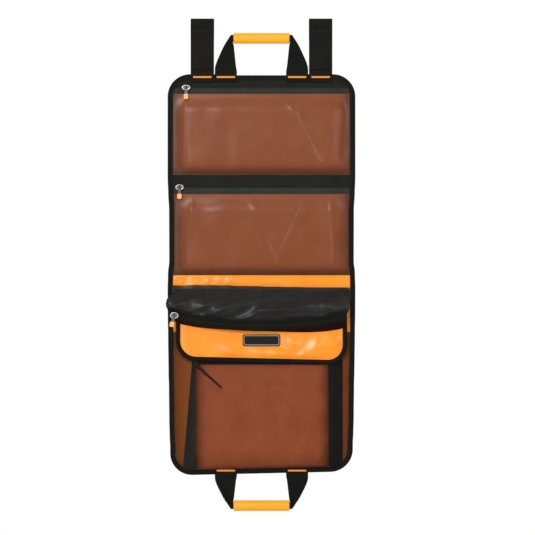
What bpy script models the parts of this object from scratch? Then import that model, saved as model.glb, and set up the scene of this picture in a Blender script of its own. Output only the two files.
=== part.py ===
"""A hanging kitchen caddy that folds in half, with zipped mesh pockets and a handle at each end.

Metres, +Z up. The front faces -Y. The origin is midway between the two strap loops, on the line
where a rail carries them. Every moving piece hangs from an empty on its joint's axis.
"""

import math

import bmesh
import bpy
from mathutils import Matrix, Vector

MM = 0.001
CLEAR = 0.3 * MM  # between neighbours that are sewn or rest on each other

# Cloth and tape, as thick as each is with its lining or fold
PANEL_T = 2.0 * MM
FLAP_T = 1.2 * MM
MESH_T = 0.8 * MM
TAPE_T = 1.0 * MM
WEBBING_T = 1.8 * MM

# Body
BODY_W = 400 * MM
CORNER_R = 48 * MM
BINDING_W = 11 * MM
UPPER_H = 432.5 * MM
SPINE_H = 28.5 * MM
LOWER_H = 397 * MM
SEAM_ALLOWANCE = 5 * MM

# Straps and handles
STRAP_DROP = 118 * MM
STRAP_W = 50 * MM
STRAP_X = 127 * MM
LOOP_R = 9 * MM
LEAF_END = 108 * MM
GRIP_STRIP_W = 44 * MM
GRIP_STRIP_H = 50 * MM
GRIP_STRIP_T = 1.0 * MM
TOP_TAB_H = 18 * MM
BOTTOM_TAB_H = 10.5 * MM
HANDLE_LEG_W = 47.5 * MM
HANDLE_LEG_X = 76.5 * MM
TOP_HANDLE_REACH = 75.5 * MM
BOTTOM_HANDLE_REACH = 67.5 * MM
GRIP_L = 120 * MM
GRIP_D = 23 * MM
GRIP_BORE = 16.6 * MM
ROLLED_WEBBING_T = 14 * MM
BAR_TACK_W = 39 * MM
BAR_TACK_H = 4.5 * MM
BAR_TACK_T = 0.8 * MM
BAR_TACK_INSET = 6.5 * MM

# Zips
COIL_R = 1.1 * MM
SLIDER_L = 17 * MM
SLIDER_H = 11 * MM
SLIDER_T = 2.0 * MM
BRIDGE_R = 0.8 * MM
BRIDGE_SPAN = 8.4 * MM
EYE_R = 2.2 * MM
EYE_BORE_R = 1.2 * MM
EYE_L = 4.6 * MM
PULLER_W = 6 * MM
PULLER_L = 19 * MM
PULLER_T = 1.4 * MM
TIP_W = 9.5 * MM
TIP_L = 11 * MM
TIP_T = 3.4 * MM
TIP_GRIP = 5 * MM

# Zipped pockets of the upper panel, down from its top edge
UTENSIL_ZIP_DROP = 29 * MM
UTENSIL_MESH_DROP = 39 * MM
SPICE_BAND_DROP = 216 * MM
SPICE_ZIP_DROP = 243 * MM
SPICE_MESH_DROP = 258 * MM
POCKET_BULGE = 7 * MM
POCKET_RAMP = 40 * MM
UTENSIL_SLIDER_X = -162 * MM
SPICE_SLIDER_X = -176 * MM

# Flap and pouch, down the flap from its hinge
FLAP_W = 367 * MM
FLAP_L = 160 * MM
FLAP_CORNER_R = 43 * MM
FLAP_BINDING_W = 9.5 * MM
SEAM_ROLL_R = 2.2 * MM
POUCH_W = 362 * MM
POUCH_SHIFT = -8 * MM  # its full front hangs a little to the left
POUCH_SPREAD = 1.065  # and is wider than its seam
POUCH_ZIP_DROP = 81 * MM
POUCH_ZIP_RISE = 22 * MM
POUCH_DEPTH = 19.5 * MM
POUCH_CROWN = 2.5 * MM
POUCH_END_RAMP = 4.5 * MM
POUCH_UPPER_TAPE = 10 * MM
POUCH_LOWER_TAPE = 6 * MM
POUCH_BASE_L = 4 * MM
POUCH_SLIDER_X = -178 * MM
PATCH_W = 80 * MM
PATCH_H = 25 * MM
PATCH_T = 2.0 * MM
PATCH_CORNER_R = 4 * MM
PATCH_DROP = 111 * MM
OUTLINE_INSET = 2.2 * MM
OUTLINE_W = 1.1 * MM
OUTLINE_T = 0.4 * MM

# Deep pocket of the lower panel
LINING_DROP = 93 * MM
POCKET_TOP_DROP = 152.5 * MM
POCKET_W = 282 * MM
GUSSET_BACK_W = 344 * MM
HEM_H = 10 * MM
HEM_DEPTH = 10 * MM
BAG_DEPTH = 27 * MM
BAG_FLOOR = 42 * MM
GUSSET_END = 21 * MM

CORNER_STEPS = 6
PAST = 5 * MM  # how far a cutter runs past what it cuts

# Planes across the thickness: y = 0 is the front of the panels
HALF_W = BODY_W / 2
SEAM_Y = -CLEAR - MESH_T / 2
LIP_BACK = -MESH_T - 2 * CLEAR
LIP_FRONT = LIP_BACK - TAPE_T
REAR_LIP_FRONT = PANEL_T + CLEAR
REAR_LIP_BACK = REAR_LIP_FRONT + TAPE_T
TAB_Y = LIP_FRONT - CLEAR - WEBBING_T / 2

# Heights
TOP_Z = -STRAP_DROP
UPPER_CREASE_Z = TOP_Z - UPPER_H
LOWER_CREASE_Z = UPPER_CREASE_Z - SPINE_H
BOTTOM_Z = LOWER_CREASE_Z - LOWER_H
POCKET_TOP_Z = LOWER_CREASE_Z - POCKET_TOP_DROP
TAB_HINGE = WEBBING_T / 2 + CLEAR  # a webbing hinge lies this far outside the edge

for old in list(bpy.data.objects):
    bpy.data.objects.remove(old, do_unlink=True)

PARTS = bpy.data.collections.new("kitchen_caddy")
CUTTERS = bpy.data.collections.new("cutters")
bpy.context.scene.collection.children.link(PARTS)
bpy.context.scene.collection.children.link(CUTTERS)
CUTTERS.hide_render = True


# Helpers


def material(name, red, green, blue, roughness, metallic=0.0):
    made = bpy.data.materials.new(name)
    made.use_nodes = True
    shader = made.node_tree.nodes["Principled BSDF"]
    shader.inputs["Base Color"].default_value = (red, green, blue, 1)
    shader.inputs["Roughness"].default_value = roughness
    shader.inputs["Metallic"].default_value = metallic
    return made


def pivot(name, place, parent=None, lean=0.0):
    """An empty on a joint's axis, at a place in the world, which its parent carries."""
    empty = bpy.data.objects.new(name, None)
    empty.location = place
    empty.rotation_euler.x = lean
    PARTS.objects.link(empty)
    if parent is not None:
        empty.parent = parent
        empty.matrix_parent_inverse = parent.matrix_world.inverted()
    bpy.context.view_layer.update()
    return empty


def carry(holder, piece, look, frame=None):
    """Hangs a piece, made in this frame or else in the world, from its body's empty."""
    piece.matrix_basis = (frame or Matrix()) @ piece.matrix_basis
    piece.parent = holder
    piece.matrix_parent_inverse = holder.matrix_world.inverted()
    piece.data.materials.clear()
    piece.data.materials.append(look)
    piece.data.shade_smooth()
    piece.data.set_sharp_from_angle(angle=math.radians(40))
    return piece


def add_mesh(name, bm):
    mesh = bpy.data.meshes.new(name)
    bm.to_mesh(mesh)
    bm.free()
    piece = bpy.data.objects.new(name, mesh)
    PARTS.objects.link(piece)
    return piece


def mesh_from_curve(guide):
    """The curve's solid as a welded mesh object in the curve's place."""
    PARTS.objects.link(guide)
    bpy.context.view_layer.update()
    graph = bpy.context.evaluated_depsgraph_get()
    mesh = bpy.data.meshes.new_from_object(guide.evaluated_get(graph))
    bm = bmesh.new()
    bm.from_mesh(mesh)
    bmesh.ops.remove_doubles(bm, verts=bm.verts, dist=0.01 * MM)
    bmesh.ops.recalc_face_normals(bm, faces=bm.faces)
    bm.to_mesh(mesh)
    bm.free()
    piece = bpy.data.objects.new(guide.name, mesh)
    piece.matrix_basis = guide.matrix_world.copy()
    PARTS.objects.link(piece)
    name = guide.name
    bpy.data.objects.remove(guide, do_unlink=True)
    piece.name = name
    return piece


def plate(name, outline, front, back):
    """A flat piece with this outline in X and Z, from y = front to y = back."""
    curve = bpy.data.curves.new(name, "CURVE")
    curve.dimensions = "2D"
    curve.fill_mode = "BOTH"
    curve.extrude = (back - front) / 2
    spline = curve.splines.new("POLY")
    spline.points.add(len(outline) - 1)
    for point, (x, z) in zip(spline.points, outline):
        point.co = (x, z, 0, 1)
    spline.use_cyclic_u = True
    guide = bpy.data.objects.new(name, curve)
    guide.rotation_euler.x = math.radians(90)
    guide.location.y = (front + back) / 2
    return mesh_from_curve(guide)


def rod(name, points, radius):
    """A round rod through these points, with flat ends."""
    curve = bpy.data.curves.new(name, "CURVE")
    curve.dimensions = "3D"
    curve.bevel_depth = radius
    curve.bevel_resolution = 2
    curve.use_fill_caps = True
    spline = curve.splines.new("POLY")
    spline.points.add(len(points) - 1)
    for point, place in zip(spline.points, points):
        point.co = (*place, 1)
    return mesh_from_curve(bpy.data.objects.new(name, curve))


def add_solidify(piece, thickness):
    wall = piece.modifiers.new("wall", "SOLIDIFY")
    wall.thickness = thickness
    wall.offset = 0
    wall.use_even_offset = True


def add_bevel(piece, width, segments=2):
    edge = piece.modifiers.new("edge", "BEVEL")
    edge.width = width
    edge.segments = segments
    edge.limit_method = "ANGLE"


def combine(piece, other, operation):
    """Joins or cuts a piece with another one, which then goes along as a hidden guide."""
    bpy.context.view_layer.update()
    PARTS.objects.unlink(other)
    CUTTERS.objects.link(other)
    other.hide_render = True
    other.display_type = "WIRE"
    other.parent = piece
    other.matrix_parent_inverse = piece.matrix_world.inverted()
    joined = piece.modifiers.new(other.name, "BOOLEAN")
    joined.operation = operation
    joined.object = other


def sheet(name, columns, rows, place, thickness):
    """A cloth sheet whose point at the shares (u, v) across and along it lies at place(u, v)."""
    bm = bmesh.new()
    bmesh.ops.create_grid(bm, x_segments=columns, y_segments=rows, size=0.5)
    for vert in bm.verts:
        vert.co = place(vert.co.x + 0.5, vert.co.y + 0.5)
    piece = add_mesh(name, bm)
    add_solidify(piece, thickness)
    return piece


def ribbon(name, x, width, path, thickness):
    """Webbing or tape of this width, centred on x, along a path of (y, z) points."""
    last = len(path) - 1

    def place(u, v):
        y, z = path[round(v * last)]
        return Vector((x + (u - 0.5) * width, y, z))

    return sheet(name, 1, last, place, thickness)


def smooth(share):
    """From 0 to 1 with level ends, and flat past either end."""
    share = min(max(share, 0.0), 1.0)
    return share * share * (3 - 2 * share)


def mix(first, second, share):
    return first + (second - first) * share


def bunched(u):
    """From -1 to 1 across a sheet, with its columns closer together near the ends."""
    return math.sin(math.radians(90) * (2 * u - 1))


def tongue(half_width, root, tip, radius):
    """An outline in X and Z with square corners at its root and round ones at its tip."""
    way = 1 if tip > root else -1
    turns = [math.radians(90) * step / CORNER_STEPS for step in range(CORNER_STEPS + 1)]
    arc = [
        (half_width - radius + radius * math.cos(turn), tip + way * radius * (math.sin(turn) - 1))
        for turn in turns
    ]
    left = [(-x, z) for x, z in arc]
    return [(-half_width, root), *left, *reversed(arc), (half_width, root)]


def rounded(half_width, half_height, radius, x=0.0, z=0.0):
    """A rectangle in X and Z with round corners, about (x, z)."""
    points = []
    for quarter in range(4):
        side = 1 if quarter in (0, 3) else -1
        up = 1 if quarter < 2 else -1
        for step in range(CORNER_STEPS + 1):
            turn = math.radians(90) * (quarter + step / CORNER_STEPS)
            points.append(
                (
                    x + side * (half_width - radius) + radius * math.cos(turn),
                    z + up * (half_height - radius) + radius * math.sin(turn),
                )
            )
    return points


def inset_width(z, inset):
    """Half the width, at height z, of the body's outline drawn in by inset."""
    radius = CORNER_R - inset
    straight = HALF_W - CORNER_R
    over = max(z - (TOP_Z - CORNER_R), BOTTOM_Z + CORNER_R - z, 0.0)
    return straight + math.sqrt(max(radius * radius - over * over, 0.0))


# Panels, spine and their binding


def panel_sheet(name, crease, tip):
    """A tarpaulin panel from its crease to its round end, inside the binding."""
    inset = TAPE_T + CLEAR
    way = 1 if tip > crease else -1
    outline = tongue(HALF_W - inset, crease + way * CLEAR / 2, tip - way * inset, CORNER_R - inset)
    return plate(name, outline, 0, PANEL_T)


def panel_binding(name, crease, tip):
    """Tape folded over the panel's edge: a ring with a slot for the cloth that it holds."""
    way = 1 if tip > crease else -1
    root = crease + way * CLEAR / 2
    past = root - way * PAST
    piece = plate(name, tongue(HALF_W, root, tip, CORNER_R), LIP_FRONT, REAR_LIP_BACK)
    inner = tongue(HALF_W - BINDING_W, past, tip - way * BINDING_W, CORNER_R - BINDING_W)
    window = plate(name + "_window", inner, LIP_FRONT - PAST, REAR_LIP_BACK + PAST)
    held = tongue(HALF_W - TAPE_T, past, tip - way * TAPE_T, CORNER_R - TAPE_T)
    slot = plate(name + "_slot", held, LIP_BACK, REAR_LIP_FRONT)
    combine(piece, window, "DIFFERENCE")
    combine(piece, slot, "DIFFERENCE")
    return piece


def box_outline(left, right, low, high):
    return [(left, low), (right, low), (right, high), (left, high)]


def spine_sheet():
    half = HALF_W - TAPE_T - CLEAR
    low = LOWER_CREASE_Z + CLEAR / 2
    high = UPPER_CREASE_Z - CLEAR / 2
    return plate("spine_panel", box_outline(-half, half, low, high), 0, PANEL_T)


def spine_binding(name, side):
    low = LOWER_CREASE_Z + CLEAR / 2
    high = UPPER_CREASE_Z - CLEAR / 2
    ends = sorted((side * HALF_W, side * (HALF_W - BINDING_W)))
    piece = plate(name, box_outline(*ends, low, high), LIP_FRONT, REAR_LIP_BACK)
    ends = sorted((side * (HALF_W - TAPE_T), side * (HALF_W - BINDING_W - PAST)))
    slot = plate(name + "_slot", box_outline(*ends, low - PAST, high + PAST), LIP_BACK, REAR_LIP_FRONT)
    combine(piece, slot, "DIFFERENCE")
    return piece


# Straps, tabs and handles


def hinge_overlap():
    """How far a webbing end may reach past its hinge and still turn clear of the tab."""
    half = WEBBING_T / 2
    return math.sqrt((half + CLEAR / 2) ** 2 - half**2)


def strap_back_path():
    """From the sewn seam up the back of the loop and over the rail, as (y, z)."""
    reach = LOOP_R + WEBBING_T / 2
    foot = TOP_Z + TAB_HINGE - hinge_overlap()
    leaf_top = -LEAF_END + GRIP_STRIP_H
    path = [(TAB_Y, foot), (TAB_Y, leaf_top)]
    steps = 5
    for step in range(1, steps):
        share = step / steps
        path.append((mix(TAB_Y, reach, smooth(share)), mix(leaf_top, -LOOP_R, share)))
    for step in range(9):
        turn = math.radians(22.5 * step)
        path.append((reach * math.cos(turn), reach * math.sin(turn) - LOOP_R))
    return path


def leaf_y():
    """The front leaf, hook-faced inside, lies on the loop strip of the back leaf."""
    return TAB_Y - WEBBING_T - GRIP_STRIP_T - 2 * CLEAR


def strap_front_path():
    reach = LOOP_R + WEBBING_T / 2
    top = -LOOP_R - CLEAR
    bend = -LEAF_END + GRIP_STRIP_H + 2 * CLEAR
    path = [(-reach, top)]
    for step in range(1, 4):
        share = step / 4
        path.append((mix(-reach, leaf_y(), smooth(share)), mix(top, bend, share)))
    return [*path, (leaf_y(), bend), (leaf_y(), -LEAF_END)]


def loop_strip(name, x):
    """The soft strip on the back leaf, which the front leaf's hooks hold."""
    low = -LEAF_END + 2 * CLEAR
    half = GRIP_STRIP_W / 2
    outline = box_outline(x - half, x + half, low, low + GRIP_STRIP_H - 4 * CLEAR)
    back = TAB_Y - WEBBING_T / 2 - CLEAR
    return plate(name, outline, back - GRIP_STRIP_T, back)


def webbing_tab(name, x, width, height, edge, way):
    """Webbing sewn flat over the binding, from the body's edge inwards."""
    outline = rounded(width / 2, height / 2, TAPE_T, x, edge - way * height / 2)
    return plate(name, outline, TAB_Y - WEBBING_T / 2, TAB_Y + WEBBING_T / 2)


def bar_tack(name, x, edge, way):
    """A dense bar of thread across a tab."""
    front = TAB_Y - WEBBING_T / 2 - CLEAR - BAR_TACK_T
    z = edge - way * BAR_TACK_INSET
    outline = rounded(BAR_TACK_W / 2, BAR_TACK_H / 2, BAR_TACK_H * 0.4, x, z)
    piece = plate(name, outline, front, front + BAR_TACK_T)
    add_bevel(piece, BAR_TACK_T * 0.4, 1)
    return piece


def handle_sections(reach):
    """Half a handle as (outer x, outer height, inner x, inner height, thickness), base first."""
    outer = HANDLE_LEG_X + HANDLE_LEG_W / 2
    inner = HANDLE_LEG_X - HANDLE_LEG_W / 2
    grip_end = GRIP_L / 2
    bore = GRIP_BORE / 2 - 2 * CLEAR
    foot = -hinge_overlap()
    return [
        (outer, foot, inner, foot, WEBBING_T),
        (outer - 0.5 * MM, reach * 0.19, mix(inner, grip_end, 0.2), reach * 0.16, WEBBING_T),
        (mix(outer, grip_end, 0.19), reach * 0.45, mix(inner, grip_end, 0.45), reach * 0.37, WEBBING_T),
        (mix(outer, grip_end, 0.43), reach * 0.73, mix(inner, grip_end, 0.7), reach * 0.6, 2 * WEBBING_T),
        (mix(outer, grip_end, 0.65), reach * 0.93, mix(inner, grip_end, 0.9), reach * 0.78, 4 * WEBBING_T),
        (grip_end + 6 * MM, reach + bore, grip_end + MM, reach - bore, ROLLED_WEBBING_T * 0.8),
        (grip_end - 4 * MM, reach + bore, grip_end - 4 * MM, reach - bore, ROLLED_WEBBING_T),
    ]


def handle_webbing(name, hinge_z, way, reach):
    """One length of webbing, flat at both sewn ends and rolled where it runs through the grip."""
    half = handle_sections(reach)
    sections = [(-o, oh, -i, ih, t) for o, oh, i, ih, t in half] + half[::-1]
    ring_points = 12
    bm = bmesh.new()
    rings = []
    for outer_x, outer_h, inner_x, inner_h, thickness in sections:
        outer = Vector((outer_x, TAB_Y, hinge_z + way * outer_h))
        inner = Vector((inner_x, TAB_Y, hinge_z + way * inner_h))
        middle, across = (outer + inner) / 2, (outer - inner) / 2
        squareness = mix(0.45, 1.0, smooth((thickness - WEBBING_T) / (ROLLED_WEBBING_T - WEBBING_T)))
        ring = []
        for step in range(ring_points):
            turn = math.radians(360) * step / ring_points
            c, s = math.cos(turn), math.sin(turn)
            wide = math.copysign(abs(c) ** squareness, c) if abs(c) > 1e-9 else 0.0
            deep = math.copysign(abs(s) ** squareness, s) if abs(s) > 1e-9 else 0.0
            ring.append(bm.verts.new(middle + across * wide + Vector((0, deep * thickness / 2, 0))))
        rings.append(ring)
    for first, second in zip(rings, rings[1:]):
        for k in range(ring_points):
            n = (k + 1) % ring_points
            bm.faces.new((first[k], first[n], second[n], second[k]))
    bm.faces.new(rings[0])
    bm.faces.new(rings[-1])
    bmesh.ops.recalc_face_normals(bm, faces=bm.faces)
    return add_mesh(name, bm)


def handle_grip(name, z):
    """A sleeve of soft vinyl: a turned profile, round at its ends, along X."""
    outer, bore, half = GRIP_D / 2, GRIP_BORE / 2, GRIP_L / 2
    lip = (outer - bore) * 0.45
    profile = [
        (bore, half), (outer - lip, half), (outer, half - lip),
        (outer, lip - half), (outer - lip, -half), (bore, -half),
    ]
    bm = bmesh.new()
    verts = [bm.verts.new((r, 0, h)) for r, h in profile]
    for first, second in zip(verts, verts[1:] + verts[:1]):
        bm.edges.new((first, second))
    piece = add_mesh(name, bm)
    turned = piece.modifiers.new("turned", "SCREW")
    turned.axis = "Z"
    turned.steps = turned.render_steps = 24
    turned.use_merge_vertices = True
    turned.merge_threshold = 0.01 * MM
    turned.use_normal_calculate = True
    piece.rotation_euler.y = math.radians(90)
    piece.location = (0, TAB_Y, z)
    return piece


# Zips


def coil(name, points):
    return rod(name, points, COIL_R)


def zip_slider(name):
    """A slider about its coil: x along the zip, and y = 0 its back, in front of the coil."""
    body = plate(name, rounded(SLIDER_L / 2, SLIDER_H / 2, SLIDER_H * 0.42), -SLIDER_T, 0)
    add_bevel(body, SLIDER_T * 0.3, 1)
    foot, top = -SLIDER_T / 2, pull_y()
    half = BRIDGE_SPAN / 2
    bend = BRIDGE_R * 1.5
    staple = [
        (-half, foot, 0), (-half, top + bend, 0), (-half + bend, top, 0),
        (half - bend, top, 0), (half, top + bend, 0), (half, foot, 0),
    ]
    combine(body, rod(name + "_bridge", staple, BRIDGE_R), "UNION")
    return body


def pull_y():
    """Where the bridge's bar lies, in a slider's own frame, so that the puller's eye clears."""
    return -SLIDER_T - EYE_R - CLEAR


def zip_puller(name):
    """The puller hangs from the bridge's bar, which is its origin: a flat shank with an eye."""
    half = PULLER_W / 2
    shank = plate(
        name,
        box_outline(-half, half, -PULLER_L, -EYE_BORE_R - CLEAR),
        -PULLER_T / 2,
        PULLER_T / 2,
    )
    ends = [(-EYE_L / 2, 0, 0), (EYE_L / 2, 0, 0)]
    combine(shank, rod(name + "_eye", ends, EYE_R), "UNION")
    bore_ends = [(-EYE_L, 0, 0), (EYE_L, 0, 0)]
    combine(shank, rod(name + "_bore", bore_ends, EYE_BORE_R), "DIFFERENCE")
    return shank


def puller_tip(name):
    """A rubber tip moulded over the shank's end."""
    top = -PULLER_L + TIP_GRIP
    outline = rounded(TIP_W / 2, TIP_L / 2, TIP_W * 0.25, 0, top - TIP_L / 2)
    tip = plate(name, outline, -TIP_T / 2, TIP_T / 2)
    add_bevel(tip, TIP_T * 0.2, 1)
    half = PULLER_W / 2 + CLEAR
    seat = box_outline(-half, half, -PULLER_L - CLEAR, top + PAST)
    deep = PULLER_T / 2 + CLEAR
    combine(tip, plate(name + "_seat", seat, -deep, deep), "DIFFERENCE")
    return tip


# Zipped pockets of the upper panel


def pocket_y(x, z, high, low):
    """The front of a mesh pocket between two heights: flat at its seams, bulged between them."""
    across = smooth((HALF_W - BINDING_W - MM - abs(x)) / POCKET_RAMP)
    along = smooth((high - z) / POCKET_RAMP) * smooth((z - low) / POCKET_RAMP)
    return SEAM_Y - POCKET_BULGE * across * along


def pocket_mesh(name, high, low):
    def place(u, v):
        z = mix(high, low, v)
        x = bunched(u) * inset_width(z, SEAM_ALLOWANCE)
        return Vector((x, pocket_y(x, z, high, low), z))

    return sheet(name, 14, 9, place, MESH_T)


def flat_tape(name, high, low):
    """A band or zip tape sewn flat across the panel, its ends under the binding."""
    rows = 4 if high > TOP_Z - CORNER_R else 1

    def place(u, v):
        z = mix(high, low, v)
        return Vector(((2 * u - 1) * inset_width(z, SEAM_ALLOWANCE), SEAM_Y, z))

    return sheet(name, 1, rows, place, MESH_T)


def add_zipped_pocket(body, name, band_top, zip_z, mesh_top, mesh_low, slider_x):
    """Band, coil, lower tape and mesh front, with the slider and its puller."""
    half = inset_width(zip_z, BINDING_W) - 2 * MM
    side = COIL_R + CLEAR
    carry(body, flat_tape(name + "_zip_band", band_top, zip_z + side), BLACK_TAPE)
    carry(body, flat_tape(name + "_zip_tape", zip_z - side, mesh_top + CLEAR), GREY_TAPE)
    y = -CLEAR - COIL_R
    carry(body, coil(name + "_zip_coil", [(-half, y, zip_z), (half, y, zip_z)]), COIL)
    carry(body, pocket_mesh(name + "_mesh", mesh_top, mesh_low), MESH)
    back = y - COIL_R - CLEAR
    frame = Matrix.Translation((slider_x, back, zip_z))
    add_slider(body, name, frame, frame.translation)


def add_slider(body, name, frame, axis):
    """A slider in its own frame, carried by an empty on the axis that it slides or turns about."""
    slider_empty = pivot(name + "_slider_axis", axis, body)
    carry(slider_empty, zip_slider(name + "_slider"), METAL, frame)
    hang = frame @ Matrix.Translation((0, pull_y(), 0))
    pull_empty = pivot(name + "_puller_axis", hang.translation, slider_empty)
    carry(pull_empty, zip_puller(name + "_puller"), METAL, hang)
    carry(pull_empty, puller_tip(name + "_puller_tip"), TIP, hang)


# Deep pocket of the lower panel


def bag_depth(z):
    """How far the deep pocket's front stands off the panel at height z."""
    floor_z = BOTTOM_Z + BINDING_W + MM
    shoulder = floor_z + BAG_FLOOR
    if z >= shoulder:
        return mix(HEM_DEPTH, BAG_DEPTH, (POCKET_TOP_Z - z) / (POCKET_TOP_Z - shoulder))
    below = min((shoulder - z) / BAG_FLOOR, 1.0)
    return BAG_DEPTH * math.sqrt(1 - below * below)


def lower_lining():
    """A flat mesh sheet sewn over the lower panel, behind the deep pocket."""
    high, low = LOWER_CREASE_Z - LINING_DROP, BOTTOM_Z + BINDING_W + 3 * MM

    def place(u, v):
        z = mix(high, low, v)
        return Vector(((2 * u - 1) * inset_width(z, BINDING_W + MM), SEAM_Y, z))

    return sheet("lower_mesh_lining", 1, 8, place, MESH_T)


def deep_pocket_mesh():
    """The front drops from its hem, swells and turns back to the bottom seam."""
    floor_z = BOTTOM_Z + BINDING_W + MM
    seam_z = BOTTOM_Z + SEAM_ALLOWANCE
    shoulder = floor_z + BAG_FLOOR
    heights = [mix(POCKET_TOP_Z, shoulder, step / 5) for step in range(5)]
    heights += [shoulder - BAG_FLOOR * math.sin(math.radians(18 * step)) for step in range(6)]
    heights.append(seam_z)

    def place(u, v):
        z = heights[round(v * (len(heights) - 1))]
        return Vector(((u - 0.5) * POCKET_W, SEAM_Y - bag_depth(z), z))

    return sheet("deep_pocket_mesh", 6, len(heights) - 1, place, MESH_T)


def deep_pocket_gusset(name, side):
    """A slanting side wall between the panel and the edge of the front."""
    low = BOTTOM_Z + GUSSET_END
    back_x, front_x = GUSSET_BACK_W / 2, POCKET_W / 2 - MESH_T

    def place(u, v):
        z = mix(POCKET_TOP_Z, low, v)
        front = SEAM_Y - bag_depth(z) + MESH_T + CLEAR + MESH_T / 2
        back = SEAM_Y - MESH_T - CLEAR
        return Vector((side * mix(back_x, front_x, u), mix(back, front, u), z))

    return sheet(name, 2, 8, place, MESH_T)


def deep_pocket_hem():
    """Tape folded over the top edge of the deep pocket's front."""
    off = MESH_T / 2 + CLEAR + TAPE_T / 2
    front = SEAM_Y - HEM_DEPTH
    top = POCKET_TOP_Z + CLEAR + TAPE_T / 2
    low = POCKET_TOP_Z - HEM_H
    drift = bag_depth(low) - HEM_DEPTH
    path = [(front - drift - off, low), (front - off, top), (front + off, top), (front + off, low)]
    return ribbon("deep_pocket_hem", 0, POCKET_W - 8 * MM, path, TAPE_T)


# Flap and pouch, in the flap's own frame: x across, -y out and -z down from the hinge


def flap_lean():
    """The flap hangs out far enough to lie on the deep pocket's hem."""
    hem_front = -SEAM_Y + bag_depth(POCKET_TOP_Z - HEM_H) + MESH_T / 2 + CLEAR + TAPE_T
    edge_half = FLAP_T / 2 + CLEAR + TAPE_T
    down = LOWER_CREASE_Z - POCKET_TOP_Z + HEM_H / 2
    out = hem_front + edge_half + 2 * CLEAR - (CLEAR + SEAM_ROLL_R)
    return math.asin(out / down)


def flap_sheet():
    inset = TAPE_T + CLEAR
    top = -SEAM_ROLL_R - CLEAR
    outline = tongue(FLAP_W / 2 - inset, top, -FLAP_L + inset, FLAP_CORNER_R - inset)
    return plate("flap_panel", outline, -FLAP_T / 2, FLAP_T / 2)


def flap_binding():
    top = -SEAM_ROLL_R - 2 * CLEAR
    lip = FLAP_T / 2 + CLEAR
    outer = lip + TAPE_T
    past = top + PAST
    piece = plate("flap_binding", tongue(FLAP_W / 2, top, -FLAP_L, FLAP_CORNER_R), -outer, outer)
    inner = tongue(
        FLAP_W / 2 - FLAP_BINDING_W, past, -FLAP_L + FLAP_BINDING_W, FLAP_CORNER_R - FLAP_BINDING_W
    )
    combine(piece, plate("flap_binding_window", inner, -outer - PAST, outer + PAST), "DIFFERENCE")
    held = tongue(FLAP_W / 2 - TAPE_T, past, -FLAP_L + TAPE_T, FLAP_CORNER_R - TAPE_T)
    combine(piece, plate("flap_binding_slot", held, -lip, lip), "DIFFERENCE")
    return piece


def pouch_seam_y():
    """The pouch's edge lies on the front lip of the flap's binding."""
    return -(FLAP_T / 2 + CLEAR + TAPE_T + CLEAR + MESH_T / 2)


def zip_arc_radius():
    half = -POUCH_SLIDER_X
    return (half**2 + POUCH_ZIP_RISE**2) / (2 * POUCH_ZIP_RISE)


def zip_line(x):
    """The pouch's zip is an arc that hangs lowest at the middle."""
    radius = zip_arc_radius()
    return -POUCH_ZIP_DROP + radius - math.sqrt(radius**2 - min(x * x, radius**2))


def pouch_end(x):
    return smooth((POUCH_W / 2 - abs(x)) / POUCH_END_RAMP)


def pouch_row(name, rows, offset, depth):
    """A strip of the pouch between two offsets from the zip line, at a depth given by share.

    Where it stands off the flap it is also wider and further to the left than its seam.
    """
    seam = -pouch_seam_y()

    def place(u, v):
        x = bunched(u) * POUCH_W / 2
        front_x = x * POUCH_SPREAD
        full = pouch_end(x) * min((depth(v) - seam) / (POUCH_DEPTH - seam), 1.0)
        return Vector((
            mix(x, front_x + POUCH_SHIFT, full), -mix(seam, depth(v), pouch_end(x)), offset(front_x, v)
        ))

    return sheet(name, 14, rows, place, MESH_T)


def pouch_mesh():
    top = -SEAM_ROLL_R - 2 * MM

    def offset(x, v):
        return mix(top, zip_line(x) + COIL_R + CLEAR + POUCH_UPPER_TAPE + CLEAR, v)

    def depth(v):
        seam = -pouch_seam_y()
        swell = math.sin(math.radians(90) * min(v / 0.7, 1.0))
        return mix(seam, POUCH_DEPTH + POUCH_CROWN, swell) - POUCH_CROWN * smooth((v - 0.7) / 0.3)

    return pouch_row("pouch_mesh", 7, offset, depth)


def pouch_tape(name, near, far):
    """A zip tape of the pouch, between two distances above the zip line."""
    return pouch_row(name, 1, lambda x, v: zip_line(x) + mix(near, far, v), lambda v: POUCH_DEPTH)


def pouch_base():
    near = -COIL_R - CLEAR - POUCH_LOWER_TAPE - MESH_T

    def offset(x, v):
        return zip_line(x) + near - POUCH_BASE_L * v

    def depth(v):
        return mix(POUCH_DEPTH, -pouch_seam_y(), v)

    return pouch_row("pouch_base", 3, offset, depth)


def pouch_coil():
    half = -POUCH_SLIDER_X + 3 * MM
    y = -POUCH_DEPTH + MESH_T / 2 - COIL_R
    places = [half * (step / 10 - 1) for step in range(21)]
    points = [(x + POUCH_SHIFT, y, zip_line(x)) for x in places]
    return coil("pouch_zip_coil", points)


def patch():
    """A rubber patch with a raised outline a little inside its edge."""
    front = -FLAP_T / 2 - CLEAR - PATCH_T
    outline = rounded(PATCH_W / 2, PATCH_H / 2, PATCH_CORNER_R, 0, -PATCH_DROP)
    piece = plate("patch", outline, front, front + PATCH_T)
    add_bevel(piece, PATCH_T * 0.25, 1)
    wide, high = PATCH_W / 2 - OUTLINE_INSET, PATCH_H / 2 - OUTLINE_INSET
    radius = PATCH_CORNER_R - OUTLINE_INSET / 2
    ring = rounded(wide, high, radius, 0, -PATCH_DROP)
    combine(piece, plate("patch_ring", ring, front - OUTLINE_T, front + PATCH_T / 2), "UNION")
    inner = rounded(wide - OUTLINE_W, high - OUTLINE_W, radius - OUTLINE_W, 0, -PATCH_DROP)
    combine(piece, plate("patch_middle", inner, front - PAST, front), "DIFFERENCE")
    return piece


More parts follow.
